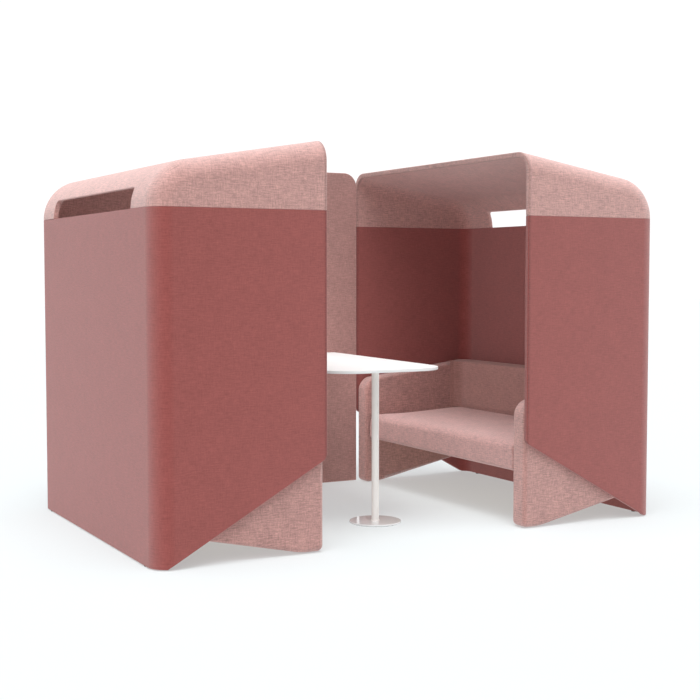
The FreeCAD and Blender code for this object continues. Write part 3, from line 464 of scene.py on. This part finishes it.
def bevel(mesh, edges, width, segments):
    """Rounds chosen edges."""
    bmesh.ops.bevel(mesh, geom=list(edges), offset=width, offset_type="OFFSET", segments=segments,
                    profile=0.5, affect="EDGES", clamp_overlap=False, material=-1)


def everything(mesh):
    return list(mesh.verts) + list(mesh.edges) + list(mesh.faces)


def block(low, high):
    """A box between two corners."""
    mesh = bmesh.new()
    low = Vector(low)
    high = Vector(high)
    bmesh.ops.create_cube(mesh, size=1.0)
    bmesh.ops.scale(mesh, vec=high - low, verts=mesh.verts)
    bmesh.ops.translate(mesh, vec=(low + high) / 2, verts=mesh.verts)
    return mesh


def prism(corners, push):
    """A flat outline pushed along a direction."""
    mesh = bmesh.new()
    face = mesh.faces.new([mesh.verts.new(corner) for corner in corners])
    grown = bmesh.ops.extrude_face_region(mesh, geom=[face])
    moved = [item for item in grown["geom"] if isinstance(item, bmesh.types.BMVert)]
    bmesh.ops.translate(mesh, vec=push, verts=moved)
    bmesh.ops.recalc_face_normals(mesh, faces=mesh.faces)
    return mesh


def open_up(mesh, gone):
    """Takes faces off a box and the edges that they leave behind."""
    bmesh.ops.delete(mesh, geom=gone, context="FACES_ONLY")
    bmesh.ops.delete(mesh, geom=[edge for edge in mesh.edges if not edge.link_faces], context="EDGES")


def thicken(mesh, inside, thickness):
    """Turns an open skin into a wall that grows towards a point inside."""
    bmesh.ops.recalc_face_normals(mesh, faces=mesh.faces)
    outward = sum(face.normal.dot(face.calc_center_median() - inside) for face in mesh.faces)
    if outward < 0:
        bmesh.ops.reverse_faces(mesh, faces=mesh.faces)
    bmesh.ops.solidify(mesh, geom=list(mesh.faces), thickness=thickness)
    bmesh.ops.recalc_face_normals(mesh, faces=mesh.faces)


def slice_off(mesh, point, normal):
    """Cuts everything behind a plane away and closes the cut."""
    bmesh.ops.bisect_plane(mesh, geom=everything(mesh), dist=1e-6, plane_co=point, plane_no=normal,
                           clear_inner=True)
    bmesh.ops.holes_fill(mesh, edges=[edge for edge in mesh.edges if edge.is_boundary], sides=0)
    bmesh.ops.recalc_face_normals(mesh, faces=mesh.faces)


def sew(mesh, sizes, side):
    """Sinks a sewn line into a cover beside its front edge, on the right or, with side -1, on the left."""
    place = side * (sizes.front + sizes.edge_seam)
    for shift in (-sizes.seam_width / 2, 0.0, sizes.seam_width / 2):
        bmesh.ops.bisect_plane(mesh, geom=everything(mesh), dist=1e-6, plane_co=(place + shift, 0.0, 0.0),
                               plane_no=(1.0, 0.0, 0.0))
    bmesh.ops.recalc_face_normals(mesh, faces=mesh.faces)
    mesh.normal_update()
    for vert in mesh.verts:
        if near(vert.co.x, place, 1e-5):
            vert.co -= vert.normal * sizes.seam_depth


def shade_smooth(data, angle=40.0):
    """Smooth shading between sharp edges, with normals that follow the larger faces."""
    data.polygons.foreach_set("use_smooth", [True] * len(data.polygons))
    data.set_sharp_from_angle(angle=math.radians(angle))
    around = [[] for _ in data.vertices]
    for face in data.polygons:
        for index in face.vertices:
            around[index].append(face)
    limit = math.cos(math.radians(angle))
    normals = []
    for face in data.polygons:
        for index in face.vertices:
            parts = [other.normal * other.area for other in around[index]
                     if other.normal.dot(face.normal) > limit]
            normals.append(sum(parts, Vector()).normalized())
    data.normals_split_custom_set(normals)


def to_object(mesh, name, slot, angle=40.0):
    """Makes an object at the origin from a mesh, smooth between its sharp edges."""
    bmesh.ops.recalc_face_normals(mesh, faces=mesh.faces)
    data = bpy.data.meshes.new(name)
    mesh.to_mesh(data)
    mesh.free()
    shade_smooth(data, angle)
    data.materials.append(MATERIALS[slot])
    piece = bpy.data.objects.new(name, data)
    bpy.context.scene.collection.objects.link(piece)
    return piece


def evaluated_mesh(piece):
    """A plain copy of a piece's mesh with its modifiers worked in."""
    graph = bpy.context.evaluated_depsgraph_get()
    return bpy.data.meshes.new_from_object(piece.evaluated_get(graph))


def carve(piece, cutters):
    """Cuts blocks out of a piece and leaves a plain mesh."""
    for cutter in cutters:
        data = bpy.data.meshes.new("cutter")
        cutter.to_mesh(data)
        cutter.free()
        tool = bpy.data.objects.new("cutter", data)
        bpy.context.scene.collection.objects.link(tool)
        modifier = piece.modifiers.new("carve", "BOOLEAN")
        modifier.operation = "DIFFERENCE"
        modifier.solver = "EXACT"
        modifier.object = tool
        carved = evaluated_mesh(piece)
        piece.modifiers.clear()
        piece.data = carved
        bpy.data.objects.remove(tool)
    shade_smooth(piece.data)


def rework(piece, change):
    """Runs a change on a piece's mesh."""
    mesh = bmesh.new()
    mesh.from_mesh(piece.data)
    change(mesh)
    mesh.to_mesh(piece.data)
    mesh.free()


def settle(piece, slot, *nodes):
    """Rides a piece on the booth and stands it in for its solids."""
    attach(piece, BODY)
    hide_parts(*nodes)


def plate_recesses(ends):
    """Cutters for the joining plates on the far face, a pair for each end of the linking screen."""
    play = bpy.context.scene.booth_sizes.plate_play
    plate_height = 0.060
    reach = (PLATE_HIGH.x - PLATE_LOW.x) / 2 + play
    cutters = []
    for end in ends:
        middle = end * (PLATE_LOW.x + PLATE_HIGH.x) / 2
        for low in (PLATE_LOW.z, PLATE_HIGH.z - plate_height):
            cutters.append(block((middle - reach, PLATE_LOW.y, low - play),
                                 (middle + reach, LINK_HIGH.y + 0.01, low + plate_height + play)))
    return cutters


def swell(piece, voxel, cap, pressure, held):
    """Blows a padded piece up like cloth over foam, no point further than the cap and some held."""
    remesh = piece.modifiers.new("grain", "REMESH")
    remesh.mode = "VOXEL"
    remesh.voxel_size = voxel
    material = piece.data.materials[0]
    grained = evaluated_mesh(piece)
    piece.modifiers.clear()
    piece.data = grained
    grained.materials.clear()
    grained.materials.append(material)
    rest = [vert.co.copy() for vert in grained.vertices]
    pinned = piece.vertex_groups.new(name="held")
    pinned.add([vert.index for vert in grained.vertices if held(vert.co)], 1.0, "REPLACE")
    settings = piece.modifiers.new("cloth", "CLOTH").settings
    settings.use_pressure = True
    settings.uniform_pressure_force = pressure
    settings.effector_weights.gravity = 0.0
    settings.vertex_group_mass = "held"
    settings.tension_stiffness = 12.0
    settings.compression_stiffness = 12.0
    settings.bending_stiffness = 2.0
    settings.quality = 4
    for step in range(1, 21):
        bpy.context.scene.frame_set(step)
    blown = evaluated_mesh(piece)
    piece.modifiers.clear()
    piece.vertex_groups.clear()
    bpy.context.scene.frame_set(1)
    for vert, start, end in zip(grained.vertices, rest, blown.vertices):
        push = end.co - start
        vert.co = start + push * min(1.0, cap / max(push.length, 1e-9))

    def relax(mesh):
        for _ in range(3):
            bmesh.ops.smooth_vert(mesh, verts=mesh.verts, factor=0.5, use_axis_x=True, use_axis_y=True,
                                  use_axis_z=True)

    rework(piece, relax)
    grained.polygons.foreach_set("use_smooth", [True] * len(grained.polygons))


def pair_up(piece, left_name):
    """A copy of a right pod's piece, turned round for the left pod."""
    copy = bpy.data.objects.new(left_name, piece.data.copy())
    copy.data.transform(HALF_TURN)
    bpy.context.scene.collection.objects.link(copy)
    return copy


def soften(piece):
    """One level of subdivision."""
    modifier = piece.modifiers.new("soften", "SUBSURF")
    modifier.levels = 1
    modifier.render_levels = 1


class BOOTH_OT_hardware(bpy.types.Operator):
    """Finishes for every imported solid: boards, rails, plates, screws and glides"""
    bl_idname = "booth.hardware"
    bl_label = "Hardware finishes"

    def execute(self, context):
        for part in frame["record"]["subparts"]:
            data = frame["nodes"][part["node"]].data
            data.materials.clear()
            data.materials.append(MATERIALS[part["material_slot"]])
        return {"FINISHED"}


class BOOTH_OT_wall_covers(bpy.types.Operator):
    """One continuous cover round the back and both sides of each pod"""
    bl_idname = "booth.wall_covers"
    bl_label = "Wall covers"

    def execute(self, context):
        sizes = context.scene.booth_sizes
        for pod, side in zip(PODS, (1, -1)):
            piece = to_object(self.cover(sizes), pod + "_wall_cover", "shell_fabric")
            if pod == "left":
                piece.data.transform(HALF_TURN)
            carve(piece, plate_recesses([side]))
            rework(piece, lambda mesh: sew(mesh, sizes, side))
            shade_smooth(piece.data)
            settle(piece, "shell_fabric", pod + "_back_screen", pod + "_near_side_screen",
                   pod + "_far_side_screen")
        return {"FINISHED"}

    def sink(self, mesh, sizes):
        """Lowers the top of the back wall a little under the slot."""
        inner = sizes.slot_half - sizes.slot_sink
        back_wall = sizes.back - 0.03
        for place in (sizes.slot_half, inner, -inner, -sizes.slot_half):
            behind = [face for face in mesh.faces if face.normal.z > 0.9
                      or all(vert.co.x > back_wall for vert in face.verts)]
            around = {item for face in behind for item in (face, *face.edges, *face.verts)}
            bmesh.ops.bisect_plane(mesh, geom=list(around), dist=1e-6, plane_co=(0.0, place, 0.0),
                                   plane_no=(0.0, 1.0, 0.0))
        for vert in mesh.verts:
            on_top = near(vert.co.z, sizes.seam) and vert.co.x > back_wall
            if on_top and abs(vert.co.y) < inner + 0.0005:
                vert.co.z -= sizes.slot_sink

    def cover(self, sizes):
        """The right pod's walls: a bent sheet, cut on a slant and rounded along its open edges."""
        mesh = block((sizes.front, -sizes.half_width, sizes.foot),
                     (sizes.back, sizes.half_width, sizes.seam))
        open_up(mesh, [face for face in mesh.faces if abs(face.normal.z) > 0.9 or face.normal.x < -0.9])
        bevel(mesh, [edge for edge in edges_at(mesh, lambda co: near(co.x, sizes.back)) if runs(edge, "z")],
              sizes.corner, 12)
        thicken(mesh, Vector((sizes.front, 0.0, sizes.seam / 2)), sizes.wall)
        corner = Vector((sizes.front, 0.0, sizes.cut_front))
        across = Vector((sizes.cut_front, 0.0, sizes.cut_back - sizes.front)).normalized()
        slice_off(mesh, corner, across)
        bmesh.ops.dissolve_limit(mesh, angle_limit=0.01, verts=mesh.verts, edges=mesh.edges)
        bevel(mesh, edges_at(mesh, lambda co: near(co.x, corner.x) and near(co.z, corner.z)),
              sizes.cut_round, 5)

        def on_rim(face):
            centre = face.calc_center_median()
            at_front = centre.x < sizes.front + sizes.cut_round
            on_slant = abs((centre - corner).dot(across)) < 0.0005
            return abs(face.normal.y) < 0.1 and (at_front or on_slant)

        rim = [edge for edge in mesh.edges if len({on_rim(face) for face in edge.link_faces}) == 2
               and all(vert.co.z > sizes.foot + sizes.edge for vert in edge.verts)]
        bevel(mesh, rim, sizes.edge, 3)
        self.sink(mesh, sizes)
        tops = edges_at(mesh, lambda co: co.z > sizes.seam - sizes.slot_sink - 0.0004)
        bevel(mesh, [edge for edge in tops if sharp(edge)], sizes.seam_bevel, 2)
        return mesh


class BOOTH_OT_hood_covers(bpy.types.Operator):
    """The rounded cover of each hood with the slot in its back"""
    bl_idname = "booth.hood_covers"
    bl_label = "Hood covers"

    def execute(self, context):
        sizes = context.scene.booth_sizes
        for pod in PODS:
            piece = to_object(self.cover(sizes), pod + "_hood_cover", "hood_fabric")
            spare = 0.05
            cutter = block((sizes.back - 3 * spare, -sizes.slot_half, sizes.seam - spare),
                           (sizes.back + spare, sizes.slot_half, sizes.slot_top))
            bevel(cutter, [edge for edge in edges_at(cutter, lambda co: near(co.z, sizes.slot_top))
                           if runs(edge, "x")], sizes.slot_round, 6)
            carve(piece, [cutter])
            rework(piece, self.round_slot)
            shade_smooth(piece.data)
            if pod == "left":
                piece.data.transform(HALF_TURN)
            settle(piece, "hood_fabric", pod + "_hood")
        return {"FINISHED"}

    def cover(self, sizes):
        """The right pod's hood: roof, back and sides bent from one box, open in front and below."""
        spare = 0.02
        mesh = block((sizes.front - spare, -sizes.half_width, sizes.seam),
                     (sizes.back, sizes.half_width, sizes.roof_front))
        for vert in mesh.verts:
            if vert.co.z > sizes.seam + 0.01:
                vert.co.z -= sizes.roof_slope * (vert.co.x - sizes.front)
        open_up(mesh, [face for face in mesh.faces if face.normal.z < -0.9 or face.normal.x < -0.9])
        lean = math.atan(sizes.roof_slope)
        reach = sizes.roof_bend * math.tan((math.pi / 2 - lean) / 2)
        bevel(mesh, edges_at(mesh, lambda co: near(co.x, sizes.back) and co.z > sizes.seam + 0.01),
              reach, 16)
        sides = [edge for edge in edges_at(mesh, lambda co: near(abs(co.y), sizes.half_width))
                 if len(edge.link_faces) == 2 and not runs(edge, "y")]
        bevel(mesh, sides, sizes.corner, 10)
        thicken(mesh, Vector((sizes.front, 0.0, sizes.seam)), sizes.wall)
        slice_off(mesh, (sizes.front, 0.0, 0.0), (1.0, 0.0, 0.0))
        front = [edge for edge in edges_at(mesh, lambda co: near(co.x, sizes.front)) if sharp(edge)
                 and not all(near(vert.co.z, sizes.seam) for vert in edge.verts)]
        bevel(mesh, front, sizes.edge, 3)
        bevel(mesh, [edge for edge in edges_at(mesh, lambda co: near(co.z, sizes.seam)) if sharp(edge)],
              sizes.seam_bevel, 2)
        sew(mesh, sizes, 1)
        return mesh

    def round_slot(self, mesh):
        """Rounds the rims where the slot comes out of the inside and the outside of the hood."""
        sizes = bpy.context.scene.booth_sizes

        def on_slot(co):
            inside = sizes.slot_half + 0.0004 - abs(co.y)
            below = sizes.slot_top + 0.0004 - co.z
            close = inside < sizes.slot_round or below < sizes.slot_round
            in_reach = co.z > sizes.seam + 0.003 and co.x > sizes.back - 0.14
            return inside > 0 and below > 0 and close and in_reach

        bmesh.ops.remove_doubles(mesh, verts=[vert for vert in mesh.verts if on_slot(vert.co)], dist=0.0015)
        rims = [edge for edge in edges_at(mesh, on_slot) if sharp(edge) and not runs(edge, "x")]
        bevel(mesh, rims, sizes.slot_edge, 2)


class BOOTH_OT_leg_covers(bpy.types.Operator):
    """The padded panels that are armrest and leg in one"""
    bl_idname = "booth.leg_covers"
    bl_label = "Leg covers"

    def execute(self, context):
        for pod in PODS:
            for side, sign in (("far", 1), ("near", -1)):
                mesh = self.cover(context.scene.booth_sizes)
                if sign < 0:
                    bmesh.ops.scale(mesh, vec=(1.0, -1.0, 1.0), verts=mesh.verts)
                if pod == "left":
                    bmesh.ops.transform(mesh, matrix=HALF_TURN, verts=mesh.verts)
                    side = {"far": "near", "near": "far"}[side]
                piece = to_object(mesh, "%s_%s_leg_cover" % (pod, side), "leg_fabric")
                settle(piece, "leg_fabric", "%s_%s_leg_panel" % (pod, side))
        return {"FINISHED"}

    def cover(self, sizes):
        """The right pod's far panel."""
        outer = LEG_HIGH.y
        inner = LEG_LOW.y
        front = LEG_LOW.x + sizes.arm_set_back
        back = LEG_HIGH.x
        foot = LEG_LOW.z
        foot_end = front + sizes.foot_length
        foot_bend = 0.028
        rim_ends = (1.2, 1.25)
        outline = [
            (front, inner, foot),
            (foot_end, inner, foot),
            (back, inner, foot + sizes.foot_rise * (back - foot_end)),
            (back, inner, sizes.arm_back),
            (sizes.arm_bend, inner, sizes.arm_back),
            (front, inner, sizes.arm_front),
        ]
        mesh = prism(outline, (0.0, outer - inner, 0.0))
        bevel(mesh, edges_at(mesh, lambda co: near(co.x, back) and near(co.y, outer)),
              sizes.corner - sizes.wall, 8)
        bevel(mesh, edges_at(mesh, lambda co: near(co.x, front) and co.z > 0.5), sizes.arm_round, 10)
        bevel(mesh, edges_at(mesh, lambda co: near(co.x, front) and co.z < 0.1), sizes.foot_round, 5)
        bevel(mesh, edges_at(mesh, lambda co: near(co.x, foot_end)), foot_bend, 5)
        rim = [edge for edge in edges_at(mesh, lambda co: near(co.y, inner) or near(co.y, outer))
               if sharp(edge) and all(vert.co.x < end for vert, end in zip(edge.verts, rim_ends))]
        bevel(mesh, rim, sizes.arm_edge, 5)
        return mesh


class BOOTH_OT_seat_cushions(bpy.types.Operator):
    """The crowned seat cushions"""
    bl_idname = "booth.seat_cushions"
    bl_label = "Seat cushions"

    def execute(self, context):
        sizes = context.scene.booth_sizes
        step = sizes.seat_step
        piece = to_object(self.blank(sizes), "right_seat_cover", "seat_fabric")
        swell(piece, sizes.seat_voxel, sizes.seat_puff, 4.0, lambda co: co.x > sizes.band_front - 0.01
              or co.z < step + 0.015 and co.x > sizes.seat_lip - 0.03)
        for pod, cushion in (("right", piece), ("left", pair_up(piece, "left_seat_cover"))):
            soften(cushion)
            settle(cushion, "seat_fabric", pod + "_seat_cushion")
        return {"FINISHED"}

    def blank(self, sizes):
        """The right pod's seat before it swells."""
        end = SEAT_HIGH.y - 0.003
        low = sizes.seat_low
        back = SEAT_HIGH.x - 0.004
        end_round = 0.016
        outline = [
            (sizes.seat_front, -end, low),
            (sizes.seat_lip, -end, low),
            (sizes.seat_lip, -end, sizes.seat_step),
            (back, -end, sizes.seat_step),
            (back, -end, sizes.seat_tuck),
            (sizes.band_front, -end, sizes.seat_tuck),
            (sizes.seat_front, -end, sizes.seat_top),
        ]
        mesh = prism(outline, (0.0, 2 * end, 0.0))
        bevel(mesh, edges_at(mesh, lambda co: near(co.x, sizes.seat_front) and near(co.z, sizes.seat_top)),
              sizes.seat_round, 6)
        rim = edges_at(mesh, lambda co: near(abs(co.y), end) and co.z > sizes.seat_step + 0.01)
        bevel(mesh, [edge for edge in rim if sharp(edge)], end_round, 3)
        return mesh


class BOOTH_OT_back_bands(bpy.types.Operator):
    """The padded bands along the back with hollow corners into the arms"""
    bl_idname = "booth.back_bands"
    bl_label = "Back bands"

    def execute(self, context):
        sizes = context.scene.booth_sizes
        piece = to_object(self.blank(sizes), "right_band_cover", "lining_fabric")
        swell(piece, sizes.band_voxel, sizes.band_puff, 9.0, lambda co: co.x > BAND_HIGH.x - 0.03
              or co.z < BAND_LOW.z + 0.02 or abs(co.y) > BAND_HIGH.y - 0.012)
        for pod, band in (("right", piece), ("left", pair_up(piece, "left_band_cover"))):
            settle(band, "lining_fabric", pod + "_backrest_cushion")
        return {"FINISHED"}

    def blank(self, sizes):
        """The right pod's band before it swells."""
        low = BAND_LOW.z
        back = BAND_HIGH.x - 0.001
        end = BAND_HIGH.y + sizes.band_bury
        tip = BAND_LOW.x - 0.012
        bend = end - 0.003
        top_round = 0.010
        outline = [(back, -end, low), (back, end, low), (tip, end, low)]
        outline += [(sizes.band_front, bend, low), (sizes.band_front, -bend, low)]
        outline += [(tip, -end, low)]
        mesh = prism(outline, (0.0, 0.0, sizes.band_top - low))
        hollow = edges_at(mesh, lambda co: near(co.x, sizes.band_front))
        bevel(mesh, [edge for edge in hollow if runs(edge, "z")], sizes.band_hollow, 10)
        top = edges_at(mesh, lambda co: co.z > sizes.band_top - 0.001 and co.x < back - 0.005)
        bevel(mesh, [edge for edge in top if sharp(edge)], top_round, 3)
        return mesh


class BOOTH_OT_link_cover(bpy.types.Operator):
    """The linking screen's cover with rounded top corners and the recesses for its plates"""
    bl_idname = "booth.link_cover"
    bl_label = "Link cover"

    def execute(self, context):
        sizes = context.scene.booth_sizes
        mesh = block(LINK_LOW, LINK_HIGH)
        tops = [edge for edge in edges_at(mesh, lambda co: near(co.z, LINK_HIGH.z)) if runs(edge, "y")]
        bevel(mesh, tops, sizes.link_round, 10)
        rim = [edge for edge in mesh.edges if sharp(edge) and not runs(edge, "y")
               and not all(near(vert.co.z, LINK_LOW.z) for vert in edge.verts)]
        bevel(mesh, rim, sizes.edge, 3)
        piece = to_object(mesh, "link_screen_cover", "link_fabric")
        carve(piece, plate_recesses([1, -1]))
        settle(piece, "link_fabric", "link_screen")
        return {"FINISHED"}


class BOOTH_OT_table(bpy.types.Operator):
    """The table top, its tube and its round base"""
    bl_idname = "booth.table"
    bl_label = "Table"

    def execute(self, context):
        top = to_object(self.board(context.scene.booth_sizes), "table_board", "table_laminate", 30.0)
        settle(top, "table_laminate", "table_top")
        low = TUBE_LOW.z
        high = TUBE_HIGH.z
        slack = 0.0012
        tube = (TUBE_HIGH.x - TUBE_LOW.x) / 2 - slack
        weld = [(tube + 0.0038, low), (tube + 0.0034, low + 0.0014), (tube + 0.0008, low + 0.0040)]
        collar = [(tube + 0.0008, high - 0.006), (tube + 0.0018, high - 0.002), (tube + 0.002, high)]
        stem = [(tube, low + 0.008), (tube, high - 0.012)]
        self.turn("table_tube", "table_paint", "table_leg",
                  [(0.0, low)] + weld + stem + collar + [(0.0, high)])
        low = BASE_LOW.z
        high = BASE_HIGH.z
        rim = (BASE_HIGH.x - BASE_LOW.x) / 2
        edge = [(rim - 0.0008, low), (rim, low + 0.0008), (rim, high - 0.0028),
                (rim - 0.0008, high - 0.0009), (rim - 0.0028, high - 0.0001)]
        self.turn("table_base_plate", "polished_base", "table_base",
                  [(0.0, low)] + edge + [(0.026, high), (0.0, high)])
        return {"FINISHED"}

    def board(self, sizes):
        """The top: round near corners, a bevel below and a hairline round above."""
        low = TOP_LOW.z
        outline = [
            (-sizes.top_near_half, TOP_LOW.y, low),
            (sizes.top_near_half, TOP_LOW.y, low),
            (TOP_HIGH.x, TOP_HIGH.y, low),
            (-TOP_HIGH.x, TOP_HIGH.y, low),
        ]
        mesh = prism(outline, (0.0, 0.0, TOP_HIGH.z - low))
        corner = math.atan2(TOP_HIGH.x - sizes.top_near_half, TOP_HIGH.y - TOP_LOW.y)
        reach = sizes.top_round * math.tan((math.pi / 2 - corner) / 2)
        near_end = edges_at(mesh, lambda co: near(co.y, TOP_LOW.y))
        bevel(mesh, [edge for edge in near_end if runs(edge, "z")], reach, 16)
        under = [edge for edge in edges_at(mesh, lambda co: near(co.z, low)) if sharp(edge)
                 and not all(near(vert.co.y, TOP_HIGH.y) for vert in edge.verts)]
        bevel(mesh, under, sizes.top_bevel, 2)
        above = [edge for edge in edges_at(mesh, lambda co: near(co.z, TOP_HIGH.z)) if sharp(edge)]
        bevel(mesh, above, sizes.top_hairline, 2)
        return mesh

    def turn(self, name, slot, node, profile):
        """A round piece about the table leg's axis."""
        mesh = bmesh.new()
        verts = [mesh.verts.new((radius, TUBE_AXIS_Y, height)) for radius, height in profile]
        edges = [mesh.edges.new(pair) for pair in zip(verts, verts[1:])]
        bmesh.ops.spin(mesh, geom=verts + edges, cent=(0.0, TUBE_AXIS_Y, 0.0), axis=(0.0, 0.0, 1.0),
                       angle=2 * math.pi, steps=96, use_merge=True)
        bmesh.ops.remove_doubles(mesh, verts=mesh.verts, dist=1e-5)
        settle(to_object(mesh, name, slot, 35.0), slot, node)


class BOOTH_OT_stage(bpy.types.Operator):
    """Pale floor, soft studio light and the camera"""
    bl_idname = "booth.stage"
    bl_label = "Stage"

    def execute(self, context):
        scene = context.scene
        finish = Finish("studio_floor")
        cloud = finish.noise(finish.point(), 0.8)
        tint = scene.booth_colours.floor
        finish.set(Base_Color=finish.mix(cloud, shade(tint, 0.995), shade(tint, 1.005)), Roughness=0.9,
                   Specular_IOR_Level=0.1, Emission_Color=(1.0, 1.0, 1.0), Emission_Strength=0.362)
        mesh = bmesh.new()
        bmesh.ops.create_grid(mesh, x_segments=1, y_segments=1, size=40.0)
        data = bpy.data.meshes.new("studio_floor")
        mesh.to_mesh(data)
        mesh.free()
        data.materials.append(finish.material)
        floor = bpy.data.objects.new("studio_floor", data)
        scene.collection.objects.link(floor)
        self.air(scene)
        self.sun("top_light", (0.10, 0.15, -1.0), 2.25, 50.0)
        self.sun("front_light", (0.27, 0.58, -0.77), 0.89, 50.0)
        self.fill("top_fill", (0.0, 0.0, -1.0), 0.36, 40.0)
        self.fill("left_fill", (0.91, 0.24, -0.34), 0.33, 30.0)
        self.fill("right_fill", (-0.995, 0.02, -0.08), 0.75, 30.0)
        self.glow("far_arm_glow", (0.20, 0.55, 0.55), 0.92, 0.12)
        for pod, side in zip(PODS, (1, -1)):
            self.glow(pod + "_pod_glow", (side * 0.65, side * -0.30, 1.0), 1.0, 0.30)
        lens = bpy.data.cameras.new("camera")
        lens.sensor_width = 36.0
        lens.lens = 66.455
        lens.clip_end = 200.0
        camera = bpy.data.objects.new("camera", lens)
        camera.location = (-3.04798, -5.70823, 1.20161)
        tilt = math.radians(90 - 3.4146)
        heading = math.radians(-28.405)
        camera.rotation_euler = Euler((tilt, 0.0, heading))
        scene.collection.objects.link(camera)
        scene.camera = camera
        scene.view_settings.view_transform = "Standard"
        return {"FINISHED"}

    def air(self, scene):
        """White all round for the eye and for reflections, dim as a light."""
        world = bpy.data.worlds.new("studio_air")
        world.use_nodes = True
        scene.world = world
        tree = world.node_tree
        path = tree.nodes.new("ShaderNodeLightPath")
        seen = tree.nodes.new("ShaderNodeMath")
        seen.operation = "MAXIMUM"
        level = tree.nodes.new("ShaderNodeMapRange")
        level.inputs["To Min"].default_value = 0.26
        level.inputs["To Max"].default_value = 1.05
        background = tree.nodes["Background"]
        background.inputs["Color"].default_value = (1.0, 1.0, 1.0, 1.0)
        tree.links.new(path.outputs["Is Camera Ray"], seen.inputs[0])
        tree.links.new(path.outputs["Is Glossy Ray"], seen.inputs[1])
        tree.links.new(seen.outputs["Value"], level.inputs["Value"])
        tree.links.new(level.outputs["Result"], background.inputs["Strength"])

    def sun(self, name, direction, strength, spread):
        """A far soft light."""
        lamp = bpy.data.lights.new(name, "SUN")
        lamp.energy = strength
        lamp.angle = math.radians(spread)
        piece = bpy.data.objects.new(name, lamp)
        piece.rotation_euler = Vector(direction).to_track_quat("-Z", "Y").to_euler()
        bpy.context.scene.collection.objects.link(piece)
        return lamp

    def fill(self, name, direction, strength, spread):
        """A weak light that throws no shadow and isn't passed on from surface to surface."""
        lamp = self.sun(name, direction, strength, spread)
        lamp.use_shadow = False
        lamp.cycles.max_bounces = 0

    def glow(self, name, place, strength, radius):
        """A weak lamp without a shadow, for the light that pale floor and cloth throw back."""
        lamp = bpy.data.lights.new(name, "POINT")
        lamp.energy = strength
        lamp.shadow_soft_size = radius
        lamp.use_shadow = False
        lamp.cycles.max_bounces = 0
        piece = bpy.data.objects.new(name, lamp)
        piece.location = place
        piece.visible_camera = False
        piece.visible_glossy = False
        bpy.context.scene.collection.objects.link(piece)


class BOOTH_PT_panel(bpy.types.Panel):
    """Sidebar panel with the booth's pieces and sizes"""
    bl_idname = "BOOTH_PT_panel"
    bl_label = "Meeting booth"
    bl_space_type = "VIEW_3D"
    bl_region_type = "UI"
    bl_category = "Booth"

    def draw(self, context):
        for operator in OPERATORS:
            self.layout.operator(operator.bl_idname)
        for group in (context.scene.booth_sizes, context.scene.booth_colours):
            box = self.layout.box()
            for name in group.__annotations__:
                box.prop(group, name)


OPERATORS = (
    BOOTH_OT_hardware,
    BOOTH_OT_wall_covers,
    BOOTH_OT_hood_covers,
    BOOTH_OT_leg_covers,
    BOOTH_OT_seat_cushions,
    BOOTH_OT_back_bands,
    BOOTH_OT_link_cover,
    BOOTH_OT_table,
    BOOTH_OT_stage,
)
CLASSES = (BoothSizes, BoothColours, BOOTH_PT_panel) + OPERATORS


def register():
    for entry in CLASSES:
        bpy.utils.register_class(entry)
    bpy.types.Scene.booth_sizes = bpy.props.PointerProperty(type=BoothSizes)
    bpy.types.Scene.booth_colours = bpy.props.PointerProperty(type=BoothColours)


def unregister():
    del bpy.types.Scene.booth_colours
    del bpy.types.Scene.booth_sizes
    for entry in reversed(CLASSES):
        bpy.utils.unregister_class(entry)


def main():
    register()
    make_materials()
    for operator in OPERATORS:
        getattr(bpy.ops.booth, operator.bl_idname.split(".")[1])()


if __name__ == "__main__":
    main()
